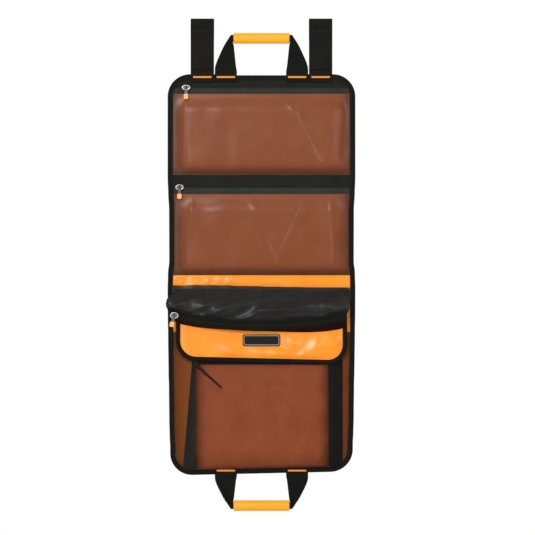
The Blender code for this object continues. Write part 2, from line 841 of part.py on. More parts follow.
def flap_seam_roll():
    """The rolled seam of the flap, which covers the lower crease."""
    half = HALF_W - BINDING_W - 3 * MM
    y = -CLEAR - SEAM_ROLL_R
    return rod("flap_seam_roll", [(-half, y, LOWER_CREASE_Z), (half, y, LOWER_CREASE_Z)], SEAM_ROLL_R)


# Assembly

TARPAULIN = material("orange_tarpaulin", 1.0, 0.33, 0.024, 0.3)
MESH = material("pocket_mesh", 0.25, 0.06, 0.03, 0.6)
POUCH_MESH = material("pouch_mesh", 0.022, 0.022, 0.02, 0.6)
BINDING = material("edge_binding", 0.012, 0.012, 0.01, 0.7)
WEBBING = material("webbing", 0.011, 0.011, 0.01, 0.75)
BLACK_TAPE = material("zip_band", 0.02, 0.021, 0.02, 0.7)
GREY_TAPE = material("zip_tape", 0.042, 0.048, 0.05, 0.7)
COIL = material("zip_coil", 0.01, 0.01, 0.01, 0.4)
METAL = material("slider_metal", 0.35, 0.34, 0.33, 0.3, 1.0)
TIP = material("puller_rubber", 0.9, 0.5, 0.16, 0.5)
GRIP = material("grip_vinyl", 1.0, 0.42, 0.02, 0.4)
THREAD = material("bar_tack_thread", 0.85, 0.28, 0.02, 0.6)
RUBBER = material("patch_rubber", 0.012, 0.012, 0.012, 0.55)


def add_straps():
    root = pivot("hanging_straps", (0, 0, 0))
    for side, which in ((-1, "left"), (1, "right")):
        x = side * STRAP_X
        name = "strap_" + which
        carry(root, ribbon(name + "_back", x, STRAP_W, strap_back_path(), WEBBING_T), WEBBING)
        carry(root, loop_strip(name + "_loop_strip", x), WEBBING)
        axis = (x, -LOOP_R - WEBBING_T, -LOOP_R)
        leaf = pivot(name + "_leaf_axis", axis, root)
        carry(leaf, ribbon(name + "_front", x, STRAP_W, strap_front_path(), WEBBING_T), WEBBING)
    return root


def add_handle(body, name, edge, way, reach, tab_height):
    hinge_z = edge + way * TAB_HINGE
    for side, which in ((-1, "left"), (1, "right")):
        x = side * HANDLE_LEG_X
        carry(body, webbing_tab(f"{name}_tab_{which}", x, HANDLE_LEG_W, tab_height, edge, way), WEBBING)
        carry(body, bar_tack(f"{name}_tack_{which}", x, edge, way), THREAD)
    swing = pivot(name + "_axis", (0, TAB_Y, hinge_z), body)
    carry(swing, handle_webbing(name + "_webbing", hinge_z, way, reach), WEBBING)
    carry(swing, handle_grip(name + "_grip", hinge_z + way * reach), GRIP)


def add_upper_panel(root):
    body = pivot("upper_panel_axis", (0, TAB_Y, TOP_Z + TAB_HINGE), root)
    carry(body, panel_sheet("upper_panel", UPPER_CREASE_Z, TOP_Z), TARPAULIN)
    carry(body, panel_binding("upper_binding", UPPER_CREASE_Z, TOP_Z), BINDING)
    for side, which in ((-1, "left"), (1, "right")):
        x = side * STRAP_X
        carry(body, webbing_tab("strap_tab_" + which, x, STRAP_W, TOP_TAB_H, TOP_Z, 1), WEBBING)
        carry(body, bar_tack("strap_tack_" + which, x, TOP_Z, 1), THREAD)
    add_handle(body, "top_handle", TOP_Z, 1, TOP_HANDLE_REACH, TOP_TAB_H)
    spice_top = TOP_Z - SPICE_BAND_DROP
    add_zipped_pocket(
        body, "utensil_pocket", TOP_Z - SEAM_ALLOWANCE, TOP_Z - UTENSIL_ZIP_DROP,
        TOP_Z - UTENSIL_MESH_DROP, spice_top + CLEAR, UTENSIL_SLIDER_X,
    )
    add_zipped_pocket(
        body, "spice_pocket", spice_top, TOP_Z - SPICE_ZIP_DROP,
        TOP_Z - SPICE_MESH_DROP, UPPER_CREASE_Z + 2 * CLEAR, SPICE_SLIDER_X,
    )
    return body


def add_spine(upper):
    body = pivot("spine_axis", (0, LIP_FRONT, UPPER_CREASE_Z), upper)
    carry(body, spine_sheet(), TARPAULIN)
    carry(body, spine_binding("spine_binding_left", -1), BINDING)
    carry(body, spine_binding("spine_binding_right", 1), BINDING)
    return body


def add_lower_panel(spine):
    body = pivot("lower_panel_axis", (0, LIP_FRONT, LOWER_CREASE_Z), spine)
    carry(body, panel_sheet("lower_panel", LOWER_CREASE_Z, BOTTOM_Z), TARPAULIN)
    carry(body, panel_binding("lower_binding", LOWER_CREASE_Z, BOTTOM_Z), BINDING)
    carry(body, flap_seam_roll(), TARPAULIN)
    carry(body, lower_lining(), MESH)
    carry(body, deep_pocket_mesh(), MESH)
    carry(body, deep_pocket_gusset("deep_pocket_gusset_left", -1), BLACK_TAPE)
    carry(body, deep_pocket_gusset("deep_pocket_gusset_right", 1), BLACK_TAPE)
    carry(body, deep_pocket_hem(), BINDING)
    add_handle(body, "bottom_handle", BOTTOM_Z, -1, BOTTOM_HANDLE_REACH, BOTTOM_TAB_H)
    return body


def add_flap(lower):
    axis = (0, -CLEAR - SEAM_ROLL_R, LOWER_CREASE_Z)
    frame = Matrix.Translation(axis) @ Matrix.Rotation(-flap_lean(), 4, "X")
    flap = pivot("flap_axis", axis, lower, -flap_lean())
    side = COIL_R + CLEAR
    for piece, look in (
        (flap_sheet(), TARPAULIN),
        (flap_binding(), BINDING),
        (pouch_mesh(), POUCH_MESH),
        (pouch_tape("pouch_zip_upper_tape", side + POUCH_UPPER_TAPE, side), BLACK_TAPE),
        (pouch_coil(), COIL),
        (pouch_tape("pouch_zip_lower_tape", -side, -side - POUCH_LOWER_TAPE), BLACK_TAPE),
        (pouch_base(), BLACK_TAPE),
        (patch(), RUBBER),
    ):
        carry(flap, piece, look, frame)
    radius = zip_arc_radius()
    tilt = math.asin(POUCH_SLIDER_X / radius)
    front = -POUCH_DEPTH + MESH_T / 2 - 2 * COIL_R - CLEAR
    place = Matrix.Translation((POUCH_SHIFT + POUCH_SLIDER_X, front, zip_line(POUCH_SLIDER_X)))
    arc_centre = frame @ Vector((POUCH_SHIFT, front, radius - POUCH_ZIP_DROP))
    add_slider(flap, "pouch", frame @ place @ Matrix.Rotation(-tilt, 4, "Y"), arc_centre)


straps = add_straps()
upper_panel = add_upper_panel(straps)
spine = add_spine(upper_panel)
lower_panel = add_lower_panel(spine)
add_flap(lower_panel)
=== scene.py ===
# %% [markdown]
# # A hanging kitchen caddy
#
# The caddy is sewn from coated cloth, net, tape and webbing. Its engineering model is in model.glb, so
# this lesson dresses it: each cell first says what the real piece or finish is, and then makes it.

import math

import bmesh
import bpy
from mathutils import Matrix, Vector, noise


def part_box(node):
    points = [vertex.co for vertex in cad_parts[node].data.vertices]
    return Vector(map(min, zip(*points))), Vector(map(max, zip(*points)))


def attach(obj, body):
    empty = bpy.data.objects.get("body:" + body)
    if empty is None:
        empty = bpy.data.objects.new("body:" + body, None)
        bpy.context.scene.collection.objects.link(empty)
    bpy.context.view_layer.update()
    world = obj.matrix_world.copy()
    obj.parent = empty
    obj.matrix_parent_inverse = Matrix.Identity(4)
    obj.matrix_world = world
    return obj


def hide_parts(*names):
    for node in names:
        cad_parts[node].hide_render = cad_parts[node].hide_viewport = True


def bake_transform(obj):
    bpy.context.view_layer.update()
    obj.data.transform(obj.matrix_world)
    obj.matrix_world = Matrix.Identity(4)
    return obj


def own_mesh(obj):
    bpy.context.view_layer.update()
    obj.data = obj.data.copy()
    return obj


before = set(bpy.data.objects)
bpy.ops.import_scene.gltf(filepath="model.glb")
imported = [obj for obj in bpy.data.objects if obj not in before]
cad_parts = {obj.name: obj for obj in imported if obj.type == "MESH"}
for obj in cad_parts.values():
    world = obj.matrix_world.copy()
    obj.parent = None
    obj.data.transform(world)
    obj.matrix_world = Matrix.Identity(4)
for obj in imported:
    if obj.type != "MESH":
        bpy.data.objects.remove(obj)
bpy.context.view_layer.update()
MM = 0.001

# %% [markdown]
# ## Camera
#
# The photograph looks straight at the caddy through a long lens. A lens could be guessed, but the webbing
# is a standard 50 mm, so the picture's width is known: 1150 mm where the caddy hangs.

# %% Place the camera
VIEW_WIDTH = 1150 * MM
CAMERA_DISTANCE = 4.0
SENSOR = 36.0
VIEW_CENTRE = (0.0129, -0.5334)

camera_data = bpy.data.cameras.new("camera")
camera_data.sensor_width = SENSOR
camera_data.lens = SENSOR * CAMERA_DISTANCE / VIEW_WIDTH
camera = bpy.data.objects.new("camera", camera_data)
camera.location = (VIEW_CENTRE[0], -CAMERA_DISTANCE, VIEW_CENTRE[1])
camera.rotation_euler = (math.radians(90), 0, 0)
bpy.context.scene.collection.objects.link(camera)
bpy.context.scene.camera = camera
print("lens", round(camera_data.lens), "mm")

# %% [markdown]
# ## Shader helpers
#
# A material is a small graph. One function adds a node with its settings and links, one turns a hex colour,
# as a designer would write it, to the linear numbers that light is worked out in, and one gives a shader
# what every finish here has: a colour between two tones, and a relief.


# %% Nodes and colours
def linear(hex_colour):
    """An sRGB hex colour as linear RGBA."""
    shares = [int(hex_colour[i : i + 2], 16) / 255 for i in (1, 3, 5)]
    return (*[c / 12.92 if c <= 0.04045 else ((c + 0.055) / 1.055) ** 2.4 for c in shares], 1.0)


def output(node):
    """The first output that a node gives in its present mode."""
    return next(out for out in node.outputs if out.enabled)


def add_node(tree, kind, **values):
    """A shader node of this kind, with its settings and inputs.

    A name in small letters is a setting. One with a capital is an input, with _ for a space, and i0 is the
    input in that place. An input gets a value, an output, or a node, whose first output is used.
    """
    node = tree.nodes.new("ShaderNode" + kind)
    for key, value in values.items():
        by_place = key[0] == "i" and key[1:].isdigit()
        if key[0].islower() and not by_place:
            setattr(node, key, value)
            continue
        socket = node.inputs[int(key[1:])] if by_place else node.inputs[key.replace("_", " ")]
        if isinstance(value, bpy.types.Node):
            value = output(value)
        if isinstance(value, bpy.types.NodeSocket):
            tree.links.new(value, socket)
        else:
            socket.default_value = value
    return node


def start_material(name, roughness, **constants):
    """A material with its Principled shader, whose steady values sit on its own sockets."""
    made = bpy.data.materials.new(name)
    made.use_nodes = True
    shader = made.node_tree.nodes["Principled BSDF"]
    shader.inputs["Roughness"].default_value = roughness
    for key, value in constants.items():
        shader.inputs[key.replace("_", " ")].default_value = value
    return made, made.node_tree, shader


def dress_shader(tree, shader, share, low, high, height, strength, depth):
    """Give a shader the colour at this share from low to high, and a relief that is so many metres deep."""
    tone = add_node(tree, "Mix", data_type="RGBA", i0=share, i6=low, i7=high)
    relief = add_node(tree, "Bump", Strength=strength, Distance=depth, Height=height)
    tree.links.new(output(tone), shader.inputs["Base Color"])
    tree.links.new(relief.outputs["Normal"], shader.inputs["Normal"])


# A wave texture's bands repeat every 0.314 units, so this over a pitch in metres is the texture's scale
BAND = 2 * math.pi / 20

# %% [markdown]
# ## Tarpaulin
#
# The orange cloth is polyester coated with PVC. The coating hides the threads, apart from a faint square
# grain, and gives a smooth half gloss that mirrors the lamps in soft pale patches. One colour would look
# painted, so its tone drifts a little, and a clear coat carries the gloss.


# %% PVC-coated polyester
CANVAS_PITCH = 1.8 * MM


def coated_polyester(name, deep, bright):
    gloss = {"Specular_IOR_Level": 0.03, "Coat_Weight": 0.5, "Coat_Roughness": 0.25}
    made, tree, shader = start_material(name, 0.45, **gloss)
    weave = add_node(tree, "UVMap", uv_map="weave")
    drift = add_node(tree, "TexNoise", Vector=weave, Scale=22.0, Detail=4.0)
    warp, weft = (
        add_node(tree, "TexWave", bands_direction=way, Vector=weave, Scale=BAND / CANVAS_PITCH).outputs["Fac"]
        for way in "XY"
    )
    grain = add_node(tree, "Math", operation="MAXIMUM", i0=warp, i1=weft)
    dress_shader(tree, shader, drift, linear(deep), linear(bright), grain, 0.12, 0.2 * MM)
    return made


TARPAULIN = coated_polyester("pvc_coated_polyester", "#f47d0c", "#fea327")

# %% [markdown]
# ## Net
#
# The pocket fronts are a fine polyester net, knitted with square holes. Real holes in the mesh would be
# millions of faces, so the threads are drawn in the shader, and between them it lets light through. The
# threads are 1.6 mm apart, a little coarser than the real ones, so that they show. Each pocket has its own
# tones, because its net hangs nearer to or further from the cloth behind it. Towards its seams each net is
# painted darker and its cover made thicker: partly layered net, partly painted shade.


# %% Knitted polyester net
NET_PITCH = 1.6 * MM
SIDE_SHADE = {"From_Min": 0.01, "From_Max": 0.12}  # shares of the width where a side seam's shade fades
FOOT_SHADE = {"From_Min": 1.0, "From_Max": 0.86}  # shares of the height, for the seam at the foot


def knitted_net(name, thread, worn, seam, thin, thick, seam_cover_and_shade, gloss=0.08):
    """Net whose cover runs from thin, in its holes, to thick, on its threads, and at its seams is thicker and
    darker, partly layered net and partly painted shade.
    """
    shine = {"Specular_IOR_Level": 0.06, "Coat_Weight": gloss, "Coat_Roughness": 0.26}
    made, tree, shader = start_material(name, 0.5, **shine)
    weave = add_node(tree, "UVMap", uv_map="weave")
    across, along = (
        add_node(tree, "TexWave", bands_direction=way, Vector=weave, Scale=BAND / NET_PITCH).outputs["Fac"]
        for way in "XY"
    )
    threads = add_node(tree, "Math", operation="MAXIMUM", i0=across, i1=along)
    patches = add_node(tree, "TexNoise", Vector=weave, Scale=26.0, Detail=5.0, Roughness=0.6)
    tone = add_node(tree, "Mix", data_type="RGBA", i0=patches, i6=linear(thread), i7=linear(worn))
    place = add_node(tree, "SeparateXYZ", Vector=add_node(tree, "UVMap", uv_map="share")).outputs
    from_side = add_node(tree, "Math", operation="PINGPONG", i0=place["X"], i1=0.5)
    from_side = add_node(tree, "Math", operation="MULTIPLY_ADD", i0=patches, i1=0.05, i2=from_side)
    inside, above = (
        add_node(tree, "MapRange", interpolation_type="SMOOTHSTEP", Value=value, **shade)
        for value, shade in ((from_side, SIDE_SHADE), (place["Y"], FOOT_SHADE))
    )
    clear = add_node(tree, "Math", operation="MULTIPLY", i0=inside, i1=above)
    # Painted shade, partly layered net: the cover grows towards the seams
    layers = add_node(tree, "Math", operation="MULTIPLY_ADD", i0=clear, i1=-seam_cover_and_shade, i2=seam_cover_and_shade)
    cover = add_node(tree, "Math", operation="MULTIPLY_ADD", i0=threads, i1=thick - thin, i2=thin)
    cover = add_node(tree, "Math", operation="ADD", i0=cover, i1=layers)
    # Painted shade: towards the seams the colour turns to the dark seam tone
    dress_shader(tree, shader, clear, linear(seam), tone, threads, 0.25, 0.2 * MM)
    tree.links.new(cover.outputs["Value"], shader.inputs["Alpha"])
    return made


# The third colour and the third number give each net's painted shade at its seams, partly layered net
POCKET_NET = knitted_net("brown_polyester_net", "#4e2119", "#80433a", "#32100a", 0.26, 0.48, 0.15, 0.44)
POUCH_NET = knitted_net("black_polyester_net", "#0c0c0b", "#2b2a27", "#0a0a09", 0.86, 0.98, 0.02, 0.14)
LINING_NET = knitted_net("brown_lining_net", "#502216", "#7e3d26", "#3c1a0e", 0.27, 0.49, 0.06)
OPEN_NET = knitted_net("open_brown_net", "#8e442a", "#cc6e4e", "#4c2412", 0.10, 0.28, 0.10)
# Near black: partly the folded net, partly painted shadow in the fold
SHADED_FOLD_NET = knitted_net("folded_brown_net_with_painted_shade", "#120a07", "#2a1711", "#120a07", 0.75, 0.95, 0.0)

# %% [markdown]
# ## Tape and webbing
#
# Binding, bands and straps are woven in ribs. The ribs are 1 to 2 mm apart, and they catch light only as
# faint lines, because black polypropylene and polyester give back about one part in a hundred. A low
# specular level keeps the white room from turning them grey.


# %% Woven black tape
def woven_tape(name, dark, light, pitch, depth, direction):
    made, tree, shader = start_material(name, 0.8, Specular_IOR_Level=0.05)
    weave = add_node(tree, "UVMap", uv_map="weave")
    ribs = add_node(tree, "TexWave", bands_direction=direction, Vector=weave, Scale=BAND / pitch).outputs["Fac"]
    fuzz = add_node(tree, "TexNoise", Vector=weave, Scale=300.0, Detail=2.0)
    wear = add_node(tree, "TexNoise", Vector=weave, Scale=18.0, Detail=5.0)
    worn = add_node(tree, "Math", operation="MULTIPLY", i0=ribs, i1=wear)
    rough = add_node(tree, "Math", operation="MULTIPLY_ADD", i0=fuzz, i1=0.35, i2=ribs)
    dress_shader(tree, shader, worn, linear(dark), linear(light), rough, 0.5, depth)
    return made


BINDING_TAPE = woven_tape("woven_polyester_tape", "#0f0f0c", "#262622", 1.2 * MM, 0.15 * MM, "X")
STRAP_WEBBING = woven_tape("polypropylene_webbing", "#11100f", "#2c2b29", 2.0 * MM, 0.3 * MM, "Y")
HANDLE_WEBBING = woven_tape("folded_polypropylene_webbing", "#0e0e0b", "#24241f", 2.0 * MM, 0.3 * MM, "Y")
BAND_CLOTH = woven_tape("ribbed_polyester_band", "#181815", "#35352f", 1.4 * MM, 0.2 * MM, "Y")
ZIP_CLOTH = woven_tape("polyester_zip_tape", "#282825", "#4a4a44", 1.3 * MM, 0.15 * MM, "X")
BASE_CLOTH = woven_tape("shaded_pouch_base", "#140c0a", "#2c1915", 1.6 * MM, 0.15 * MM, "X")
GUSSET_CLOTH = woven_tape("black_polyester_canvas", "#1a1a18", "#3c3b37", 1.3 * MM, 0.2 * MM, "Y")

# %% [markdown]
# ## Thread, coil, metal, rubber and vinyl
#
# The small hard parts share no weave. Each gets its own grain: thread is twisted and matt, a nylon coil is
# drawn and shiny, the sliders are nickel-plated zinc with brushed scratches, and the grips are moulded
# vinyl that is smooth with a slight orange-peel skin.


# %% Plain materials with a fine grain
def grained(name, low, high, roughness, scale, stretch=(1, 1, 1), depth=0.1 * MM, **constants):
    """A moulded, drawn or plated finish: two near tones and a relief, both from one noise."""
    made, tree, shader = start_material(name, roughness, **constants)
    place = add_node(tree, "TexCoord").outputs["Object"]
    turned = add_node(tree, "Mapping", Vector=place, Scale=stretch)
    grain = add_node(tree, "TexNoise", Vector=turned, Scale=scale, Detail=4.0)
    dress_shader(tree, shader, grain, linear(low), linear(high), grain, 0.3, depth)
    return made


BRUSHED = {"stretch": (1, 1, 6), "depth": 0.04 * MM, "Metallic": 1.0}
SOFT_GLOSS = {"depth": 0.15 * MM, "Specular_IOR_Level": 0.3, "Coat_Weight": 0.15}

ORANGE_THREAD = grained("orange_nylon_thread", "#dd7f1c", "#f5a548", 0.6, 900.0, (1, 1, 0.3))
BLACK_THREAD = grained("black_nylon_thread", "#141412", "#3a3936", 0.6, 900.0, Specular_IOR_Level=0.3)
COIL_NYLON = grained("drawn_nylon_coil", "#10100e", "#2a2a27", 0.42, 500.0, Specular_IOR_Level=0.4)
NICKEL = grained("nickel_plated_zinc", "#b3b0ac", "#e2dfdb", 0.28, 420.0, **BRUSHED)
# Dark metal of the pullers, and also the painted shade on the sliders' fronts
DARK_METAL_AND_SHADE = grained("blackened_zinc_and_painted_shade", "#2b2a28", "#5a5855", 0.38, 420.0, **BRUSHED)
TIP_RUBBER = grained("moulded_tip_rubber", "#ea9433", "#fdb763", 0.45, 260.0)
GRIP_VINYL = grained("moulded_grip_vinyl", "#fba208", "#ffb21c", 0.4, 60.0, **SOFT_GLOSS)
PATCH_RUBBER = grained("moulded_patch_rubber", "#0c0c0b", "#191917", 0.5, 500.0, Specular_IOR_Level=0.1)
PATCH_LINE = grained("grey_moulded_line", "#8e8f92", "#b4b5b8", 0.5, 300.0)
print("materials:", len(bpy.data.materials))

# %% [markdown]
# ## Sheets of cloth
#
# Every sheet here is a grid of points. A function says where the point at the shares (u, v) lies, so a fold
# is a line of arithmetic, and a Solidify modifier then gives the cloth its thickness and closes it. The UV
# map is in metres along the cloth, so each weave keeps its real pitch wherever the cloth goes.


# %% Cloth and its modifiers
SMOOTH_BELOW = math.radians(40)  # faces that meet at less than this are shaded as one surface


def smooth(share):
    """From 0 to 1 with level ends."""
    share = min(max(share, 0.0), 1.0)
    return share * share * (3 - 2 * share)


def mix(first, second, share):
    return first + (second - first) * share


def wander(x, z, size, seed=0.0):
    """A soft random number from about -1 to 1 that changes over this size."""
    return noise.noise(Vector((x / size, z / size, seed))) * 1.6


def lengths(points):
    """How far along a line of points each one lies."""
    run = [0.0]
    for first, second in zip(points, points[1:]):
        run.append(run[-1] + (second - first).length)
    return run


def new_piece(name, bm, look):
    """The finished mesh as a piece of the scene, which is left selected and active."""
    mesh = bpy.data.meshes.new(name)
    bm.to_mesh(mesh)
    bm.free()
    piece = bpy.data.objects.new(name, mesh)
    bpy.context.scene.collection.objects.link(piece)
    mesh.materials.append(look)
    bpy.ops.object.select_all(action="DESELECT")
    piece.select_set(True)
    bpy.context.view_layer.objects.active = piece
    return piece


def cloth(name, columns, rows, place, thickness, look):
    """A sheet through place(u, v), thick and closed, with its weave map in metres."""
    bm = bmesh.new()
    grid = [
        [bm.verts.new(place(column / columns, row / rows)) for column in range(columns + 1)]
        for row in range(rows + 1)
    ]
    us = lengths([vert.co for vert in grid[rows // 2]])
    vs = lengths([line[columns // 2].co for line in grid])
    weave = bm.loops.layers.uv.new("weave")
    share = bm.loops.layers.uv.new("share")
    for row in range(rows):
        for column in range(columns):
            steps = ((row, column), (row + 1, column), (row + 1, column + 1), (row, column + 1))
            face = bm.faces.new([grid[r][c] for r, c in steps])
            for loop, (r, c) in zip(face.loops, steps):
                loop[weave].uv = (us[c], vs[r])
                loop[share].uv = (c / columns, r / rows)
    piece = new_piece(name, bm, look)
    wall = piece.modifiers.new("wall", "SOLIDIFY")
    wall.thickness = thickness
    wall.offset = 0
    wall.use_even_offset = True
    bpy.ops.object.modifier_apply(modifier=wall.name)
    bpy.ops.object.shade_smooth_by_angle(angle=SMOOTH_BELOW)
    return piece


def cloth_area(piece):
    """Half a closed sheet's surface, which is its cut area."""
    return sum(polygon.area for polygon in piece.data.polygons) / 2


def settle(piece, slot, body, *nodes):
    """Attach a piece to the one body it rides on and hide the nodes it stands for; slot is not used."""
    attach(piece, body)
    if nodes:
        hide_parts(*nodes)


def repaint(node_name, *looks):
    """Show a node of the engineering model itself in these materials."""
    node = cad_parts[node_name]
    node.data.materials.clear()
    for look in looks:
        node.data.materials.append(look)
    return node


# %% [markdown]
# ## Floor, backdrop and light
#
# The photograph is cut out on white, so the world shows as white to the camera, and to glossy things that
# mirror it, while a dimmer white lights the object. Three soft boxes light it as on a product table: the
# main one high at the left, a weaker one at the right and a tall narrow one low at the left, which draws
# the long pale streaks in the coated cloth. The caddy hangs clear of a pale floor that takes its shadow.


# %% White room with three soft boxes
world = bpy.data.worlds.new("white_room")
bpy.context.scene.world = world
world.use_nodes = True
tree = world.node_tree
tree.nodes.clear()
path = add_node(tree, "LightPath").outputs
seen = add_node(tree, "Math", operation="MAXIMUM", i0=path["Is Camera Ray"], i1=path["Is Glossy Ray"])
seen = add_node(tree, "Math", operation="MAXIMUM", i0=seen, i1=path["Is Transmission Ray"])
dim = add_node(tree, "Background", Color=(1, 1, 1, 1), Strength=0.55)
white = add_node(tree, "Background", Color=(1, 1, 1, 1), Strength=1.0)
add_node(tree, "OutputWorld", Surface=add_node(tree, "MixShader", i0=seen, i1=dim, i2=white))

MIDDLE = Vector((0, 0, -0.53))
for name, place, size, power in (
    ("key_light", (-0.7, -2.5, 0.55), (0.62, 0.62), 34),
    ("fill_light", (0.95, -2.5, 0.15), (0.5, 0.5), 9),
    ("strip_light", (-0.75, -2.5, -0.5), (0.12, 1.1), 6),
):
    lamp = bpy.data.lights.new(name, "AREA")
    lamp.shape = "RECTANGLE"
    lamp.size, lamp.size_y = size
    lamp.energy = power
    soft_box = bpy.data.objects.new(name, lamp)
    soft_box.location = place
    soft_box.rotation_euler = (MIDDLE - Vector(place)).to_track_quat("-Z", "Y").to_euler()
    bpy.context.scene.collection.objects.link(soft_box)

bpy.context.scene.view_settings.view_transform = "Standard"

FLOOR_Z = -1.32
FLOOR_PAINT = start_material("white_floor_paint", 0.9, Base_Color=linear("#f1f1ef"))[0]
bpy.ops.object.select_all(action="DESELECT")
bpy.ops.mesh.primitive_plane_add(size=2.3, location=(0, 0, FLOOR_Z))
floor = bpy.context.object
floor.name = "floor"
bpy.ops.object.transform_apply(location=True)
floor.data.materials.append(FLOOR_PAINT)

# %% [markdown]
# ## The hanging cloth
#
# One length of tarpaulin is the back of the whole caddy. It is cut here at its two creases, so that each
# part can follow its own half when the caddy folds, and the short strips at the creases are pieces of their
# own.
# Hung cloth is never flat: long shallow waves run down it, and they die out at the bound edges.

# %% The caddy's outline
HALF_W = 200 * MM
CORNER_R = 48 * MM
TOP_Z = -118 * MM
UPPER_CREASE = -550.5 * MM
LOWER_CREASE = -579 * MM
CREASE_MIDDLE = (UPPER_CREASE + LOWER_CREASE) / 2
BOTTOM_Z = -976 * MM
BEND = 6 * MM  # how far above and below a crease the cloth bends
TAPE_T = 1 * MM
CLEAR = 0.3 * MM

# Height in metres, and how far the edge stands out there in millimetres
EDGE_LINE = [
    (-0.340, 1.7), (-0.374, 0.5), (-0.409, -1.4), (-0.520, -1.7), (-0.545, 0.9), (-0.580, 1.7), (-0.620, 1.6),
    (-0.685, 0.7), (-0.755, -0.2), (-0.790, -1.1), (-0.857, -1.7), (-0.892, -2.6), (-0.915, -3.7),
]


def edge_wave(z):
    """How far the edge strays: it draws in at the pockets and spreads where the flap pulls on it."""
    for (high, first), (low, last) in zip(EDGE_LINE, EDGE_LINE[1:]):
        if z > low:
            return MM * mix(first, last, smooth((high - z) / (high - low)))
    return MM * EDGE_LINE[-1][1]


def edge_x(z):
    """Half the width of the caddy at this height."""
    half = HALF_W + edge_wave(z)
    for end, way in ((TOP_Z, -1), (BOTTOM_Z, 1)):
        past = CORNER_R - (z - end) * way
        if past > 0:
            half -= CORNER_R - math.sqrt(max(CORNER_R**2 - past**2, 0))
    return half


def top_dip(x):
    """How far the top edge hangs down between the handle's two tabs."""
    return 2.2 * MM * smooth((90 * MM - abs(x)) / (40 * MM))


print("width at the creases:", round(2 * edge_x(CREASE_MIDDLE) / MM, 1), "mm")

# %% [markdown]
# ## Folds in the strip
#
# Between the creases the tarpaulin has nothing in front of it, so its slack shows: dents over its whole
# width, a roll that spills forward at the left, and pleats in that roll. Each is a small function of the
# place, and the sheet adds them up.

# %% Back sheets
PLEATS = [(-194, 30), (-160, 26), (-132, 24), (-106, 22), (-82, 18)]  # start and width, in millimetres
BARE_HALF = 9 * MM  # half the height of the strip that shows
SPILL_DEPTH = 19 * MM
WAVE_FADE, PLEAT_FADE = 0.16, 0.05  # the shares of the half width over which waves and pleats die out


def pleats(x, fall):
    """Slack at the left of the strip: each pleat comes out slowly to the right, then turns back."""
    out = 0.0
    for start, width in PLEATS:
        share = (x / MM + 0.5 * (fall - 9) - start) / width
        if 0 < share < 1:
            out = 0.12 * width * share * smooth((1 - share) / 0.25)
    return out * MM


def strip_dents(x, z, calm):
    """Soft dents in the bare strip between the creases."""
    bare = smooth((BARE_HALF - abs(z - CREASE_MIDDLE - 1 * MM)) / BARE_HALF)
    dent = 0.45 * bare * calm * (wander(x + z, z * 0.7 - x * 0.6, 0.022, 5.0) + 0.5)
    return 1.9 * MM * max(dent, -0.4)


def spill(x, z, calm, edge_calm):
    """How far the slack rolls forward below the upper crease, with the pleats in it."""
    fall = min(max(UPPER_CREASE - 2 * MM - z, 0), SPILL_DEPTH) / MM
    start = smooth(fall / 5)
    roll = 0.17 * MM * fall * start * smooth((z - LOWER_CREASE - 2 * MM) / (6 * MM))
    roll *= calm * smooth((-80 * MM - x) / (60 * MM)) * (1 + 0.25 * wander(x, 0, 0.025, 8.0))
    return roll + pleats(x, fall) * edge_calm * start * smooth((z - LOWER_CREASE - 3 * MM) / (8 * MM))


def back_sheet(name, high, low, rows):
    """The tarpaulin between two heights."""

    def place(u, v):
        z = mix(high, low, v)
        across = 2 * u - 1
        x = across * (edge_x(z) - TAPE_T - CLEAR)
        z -= top_dip(x) * smooth((z - TOP_Z + 60 * MM) / (50 * MM))
        calm, edge_calm = (smooth((1 - abs(across)) / share) for share in (WAVE_FADE, PLEAT_FADE))
        wave = 0.45 * MM * calm * wander(across * 0.2, z, 0.09, 3.0)
        return Vector((x, 1 * MM + wave - strip_dents(x, z, calm) - spill(x, z, calm, edge_calm), z))

    piece = cloth(name, 120, rows, place, 1.6 * MM, TARPAULIN)
    abs(place(0.5, 0).z - place(0.5, 1).z)
    print(name, round(cloth_area(piece) * 1e4), "cm2")
    return piece


STRIP_TOP, STRIP_LOW = UPPER_CREASE + BEND, LOWER_CREASE - BEND
upper_cloth = back_sheet("upper_cloth", TOP_Z - TAPE_T - CLEAR, STRIP_TOP, 70)
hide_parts("upper_panel")
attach(upper_cloth, "upper_panel")

crease_cloth = back_sheet("crease_cloth", STRIP_TOP, CREASE_MIDDLE, 12)
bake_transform(crease_cloth)
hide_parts("spine_panel")

lower_crease_cloth = back_sheet("lower_crease_cloth", CREASE_MIDDLE, STRIP_LOW, 12)
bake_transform(lower_crease_cloth)

lower_cloth = back_sheet("lower_cloth", STRIP_LOW, BOTTOM_Z + TAPE_T + CLEAR, 64)
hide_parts("lower_panel")
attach(lower_cloth, "lower_panel")

# %% [markdown]
# ## Edge binding
#
# Woven tape is folded over the raw edge and sewn through. In section it is a U, so one section is carried
# along the outline, and it opens and closes a little on the way, as sewn tape does.

# %% Tape round the edges
TAPE_W = 11 * MM
STEP = 5 * MM  # between two sections of a long run
CORNER_TURNS = [math.radians(90 * k / 16) for k in range(17)]

# How far in from the edge, in metres, and how far back, in millimetres
TAPE_SECTION = [
    (TAPE_W, -2.45), (1.6 * MM, -2.4), (0.5 * MM, -1.9), (0, -0.6), (0, 1.5), (0.5 * MM, 2.8), (1.6 * MM, 3.3),
    (TAPE_W, 3.3), (TAPE_W, 2.4), (1.5 * MM, 2.35), (1.0 * MM, 1.5), (1.0 * MM, -0.5), (1.5 * MM, -1.45),
    (TAPE_W, -1.5),
]


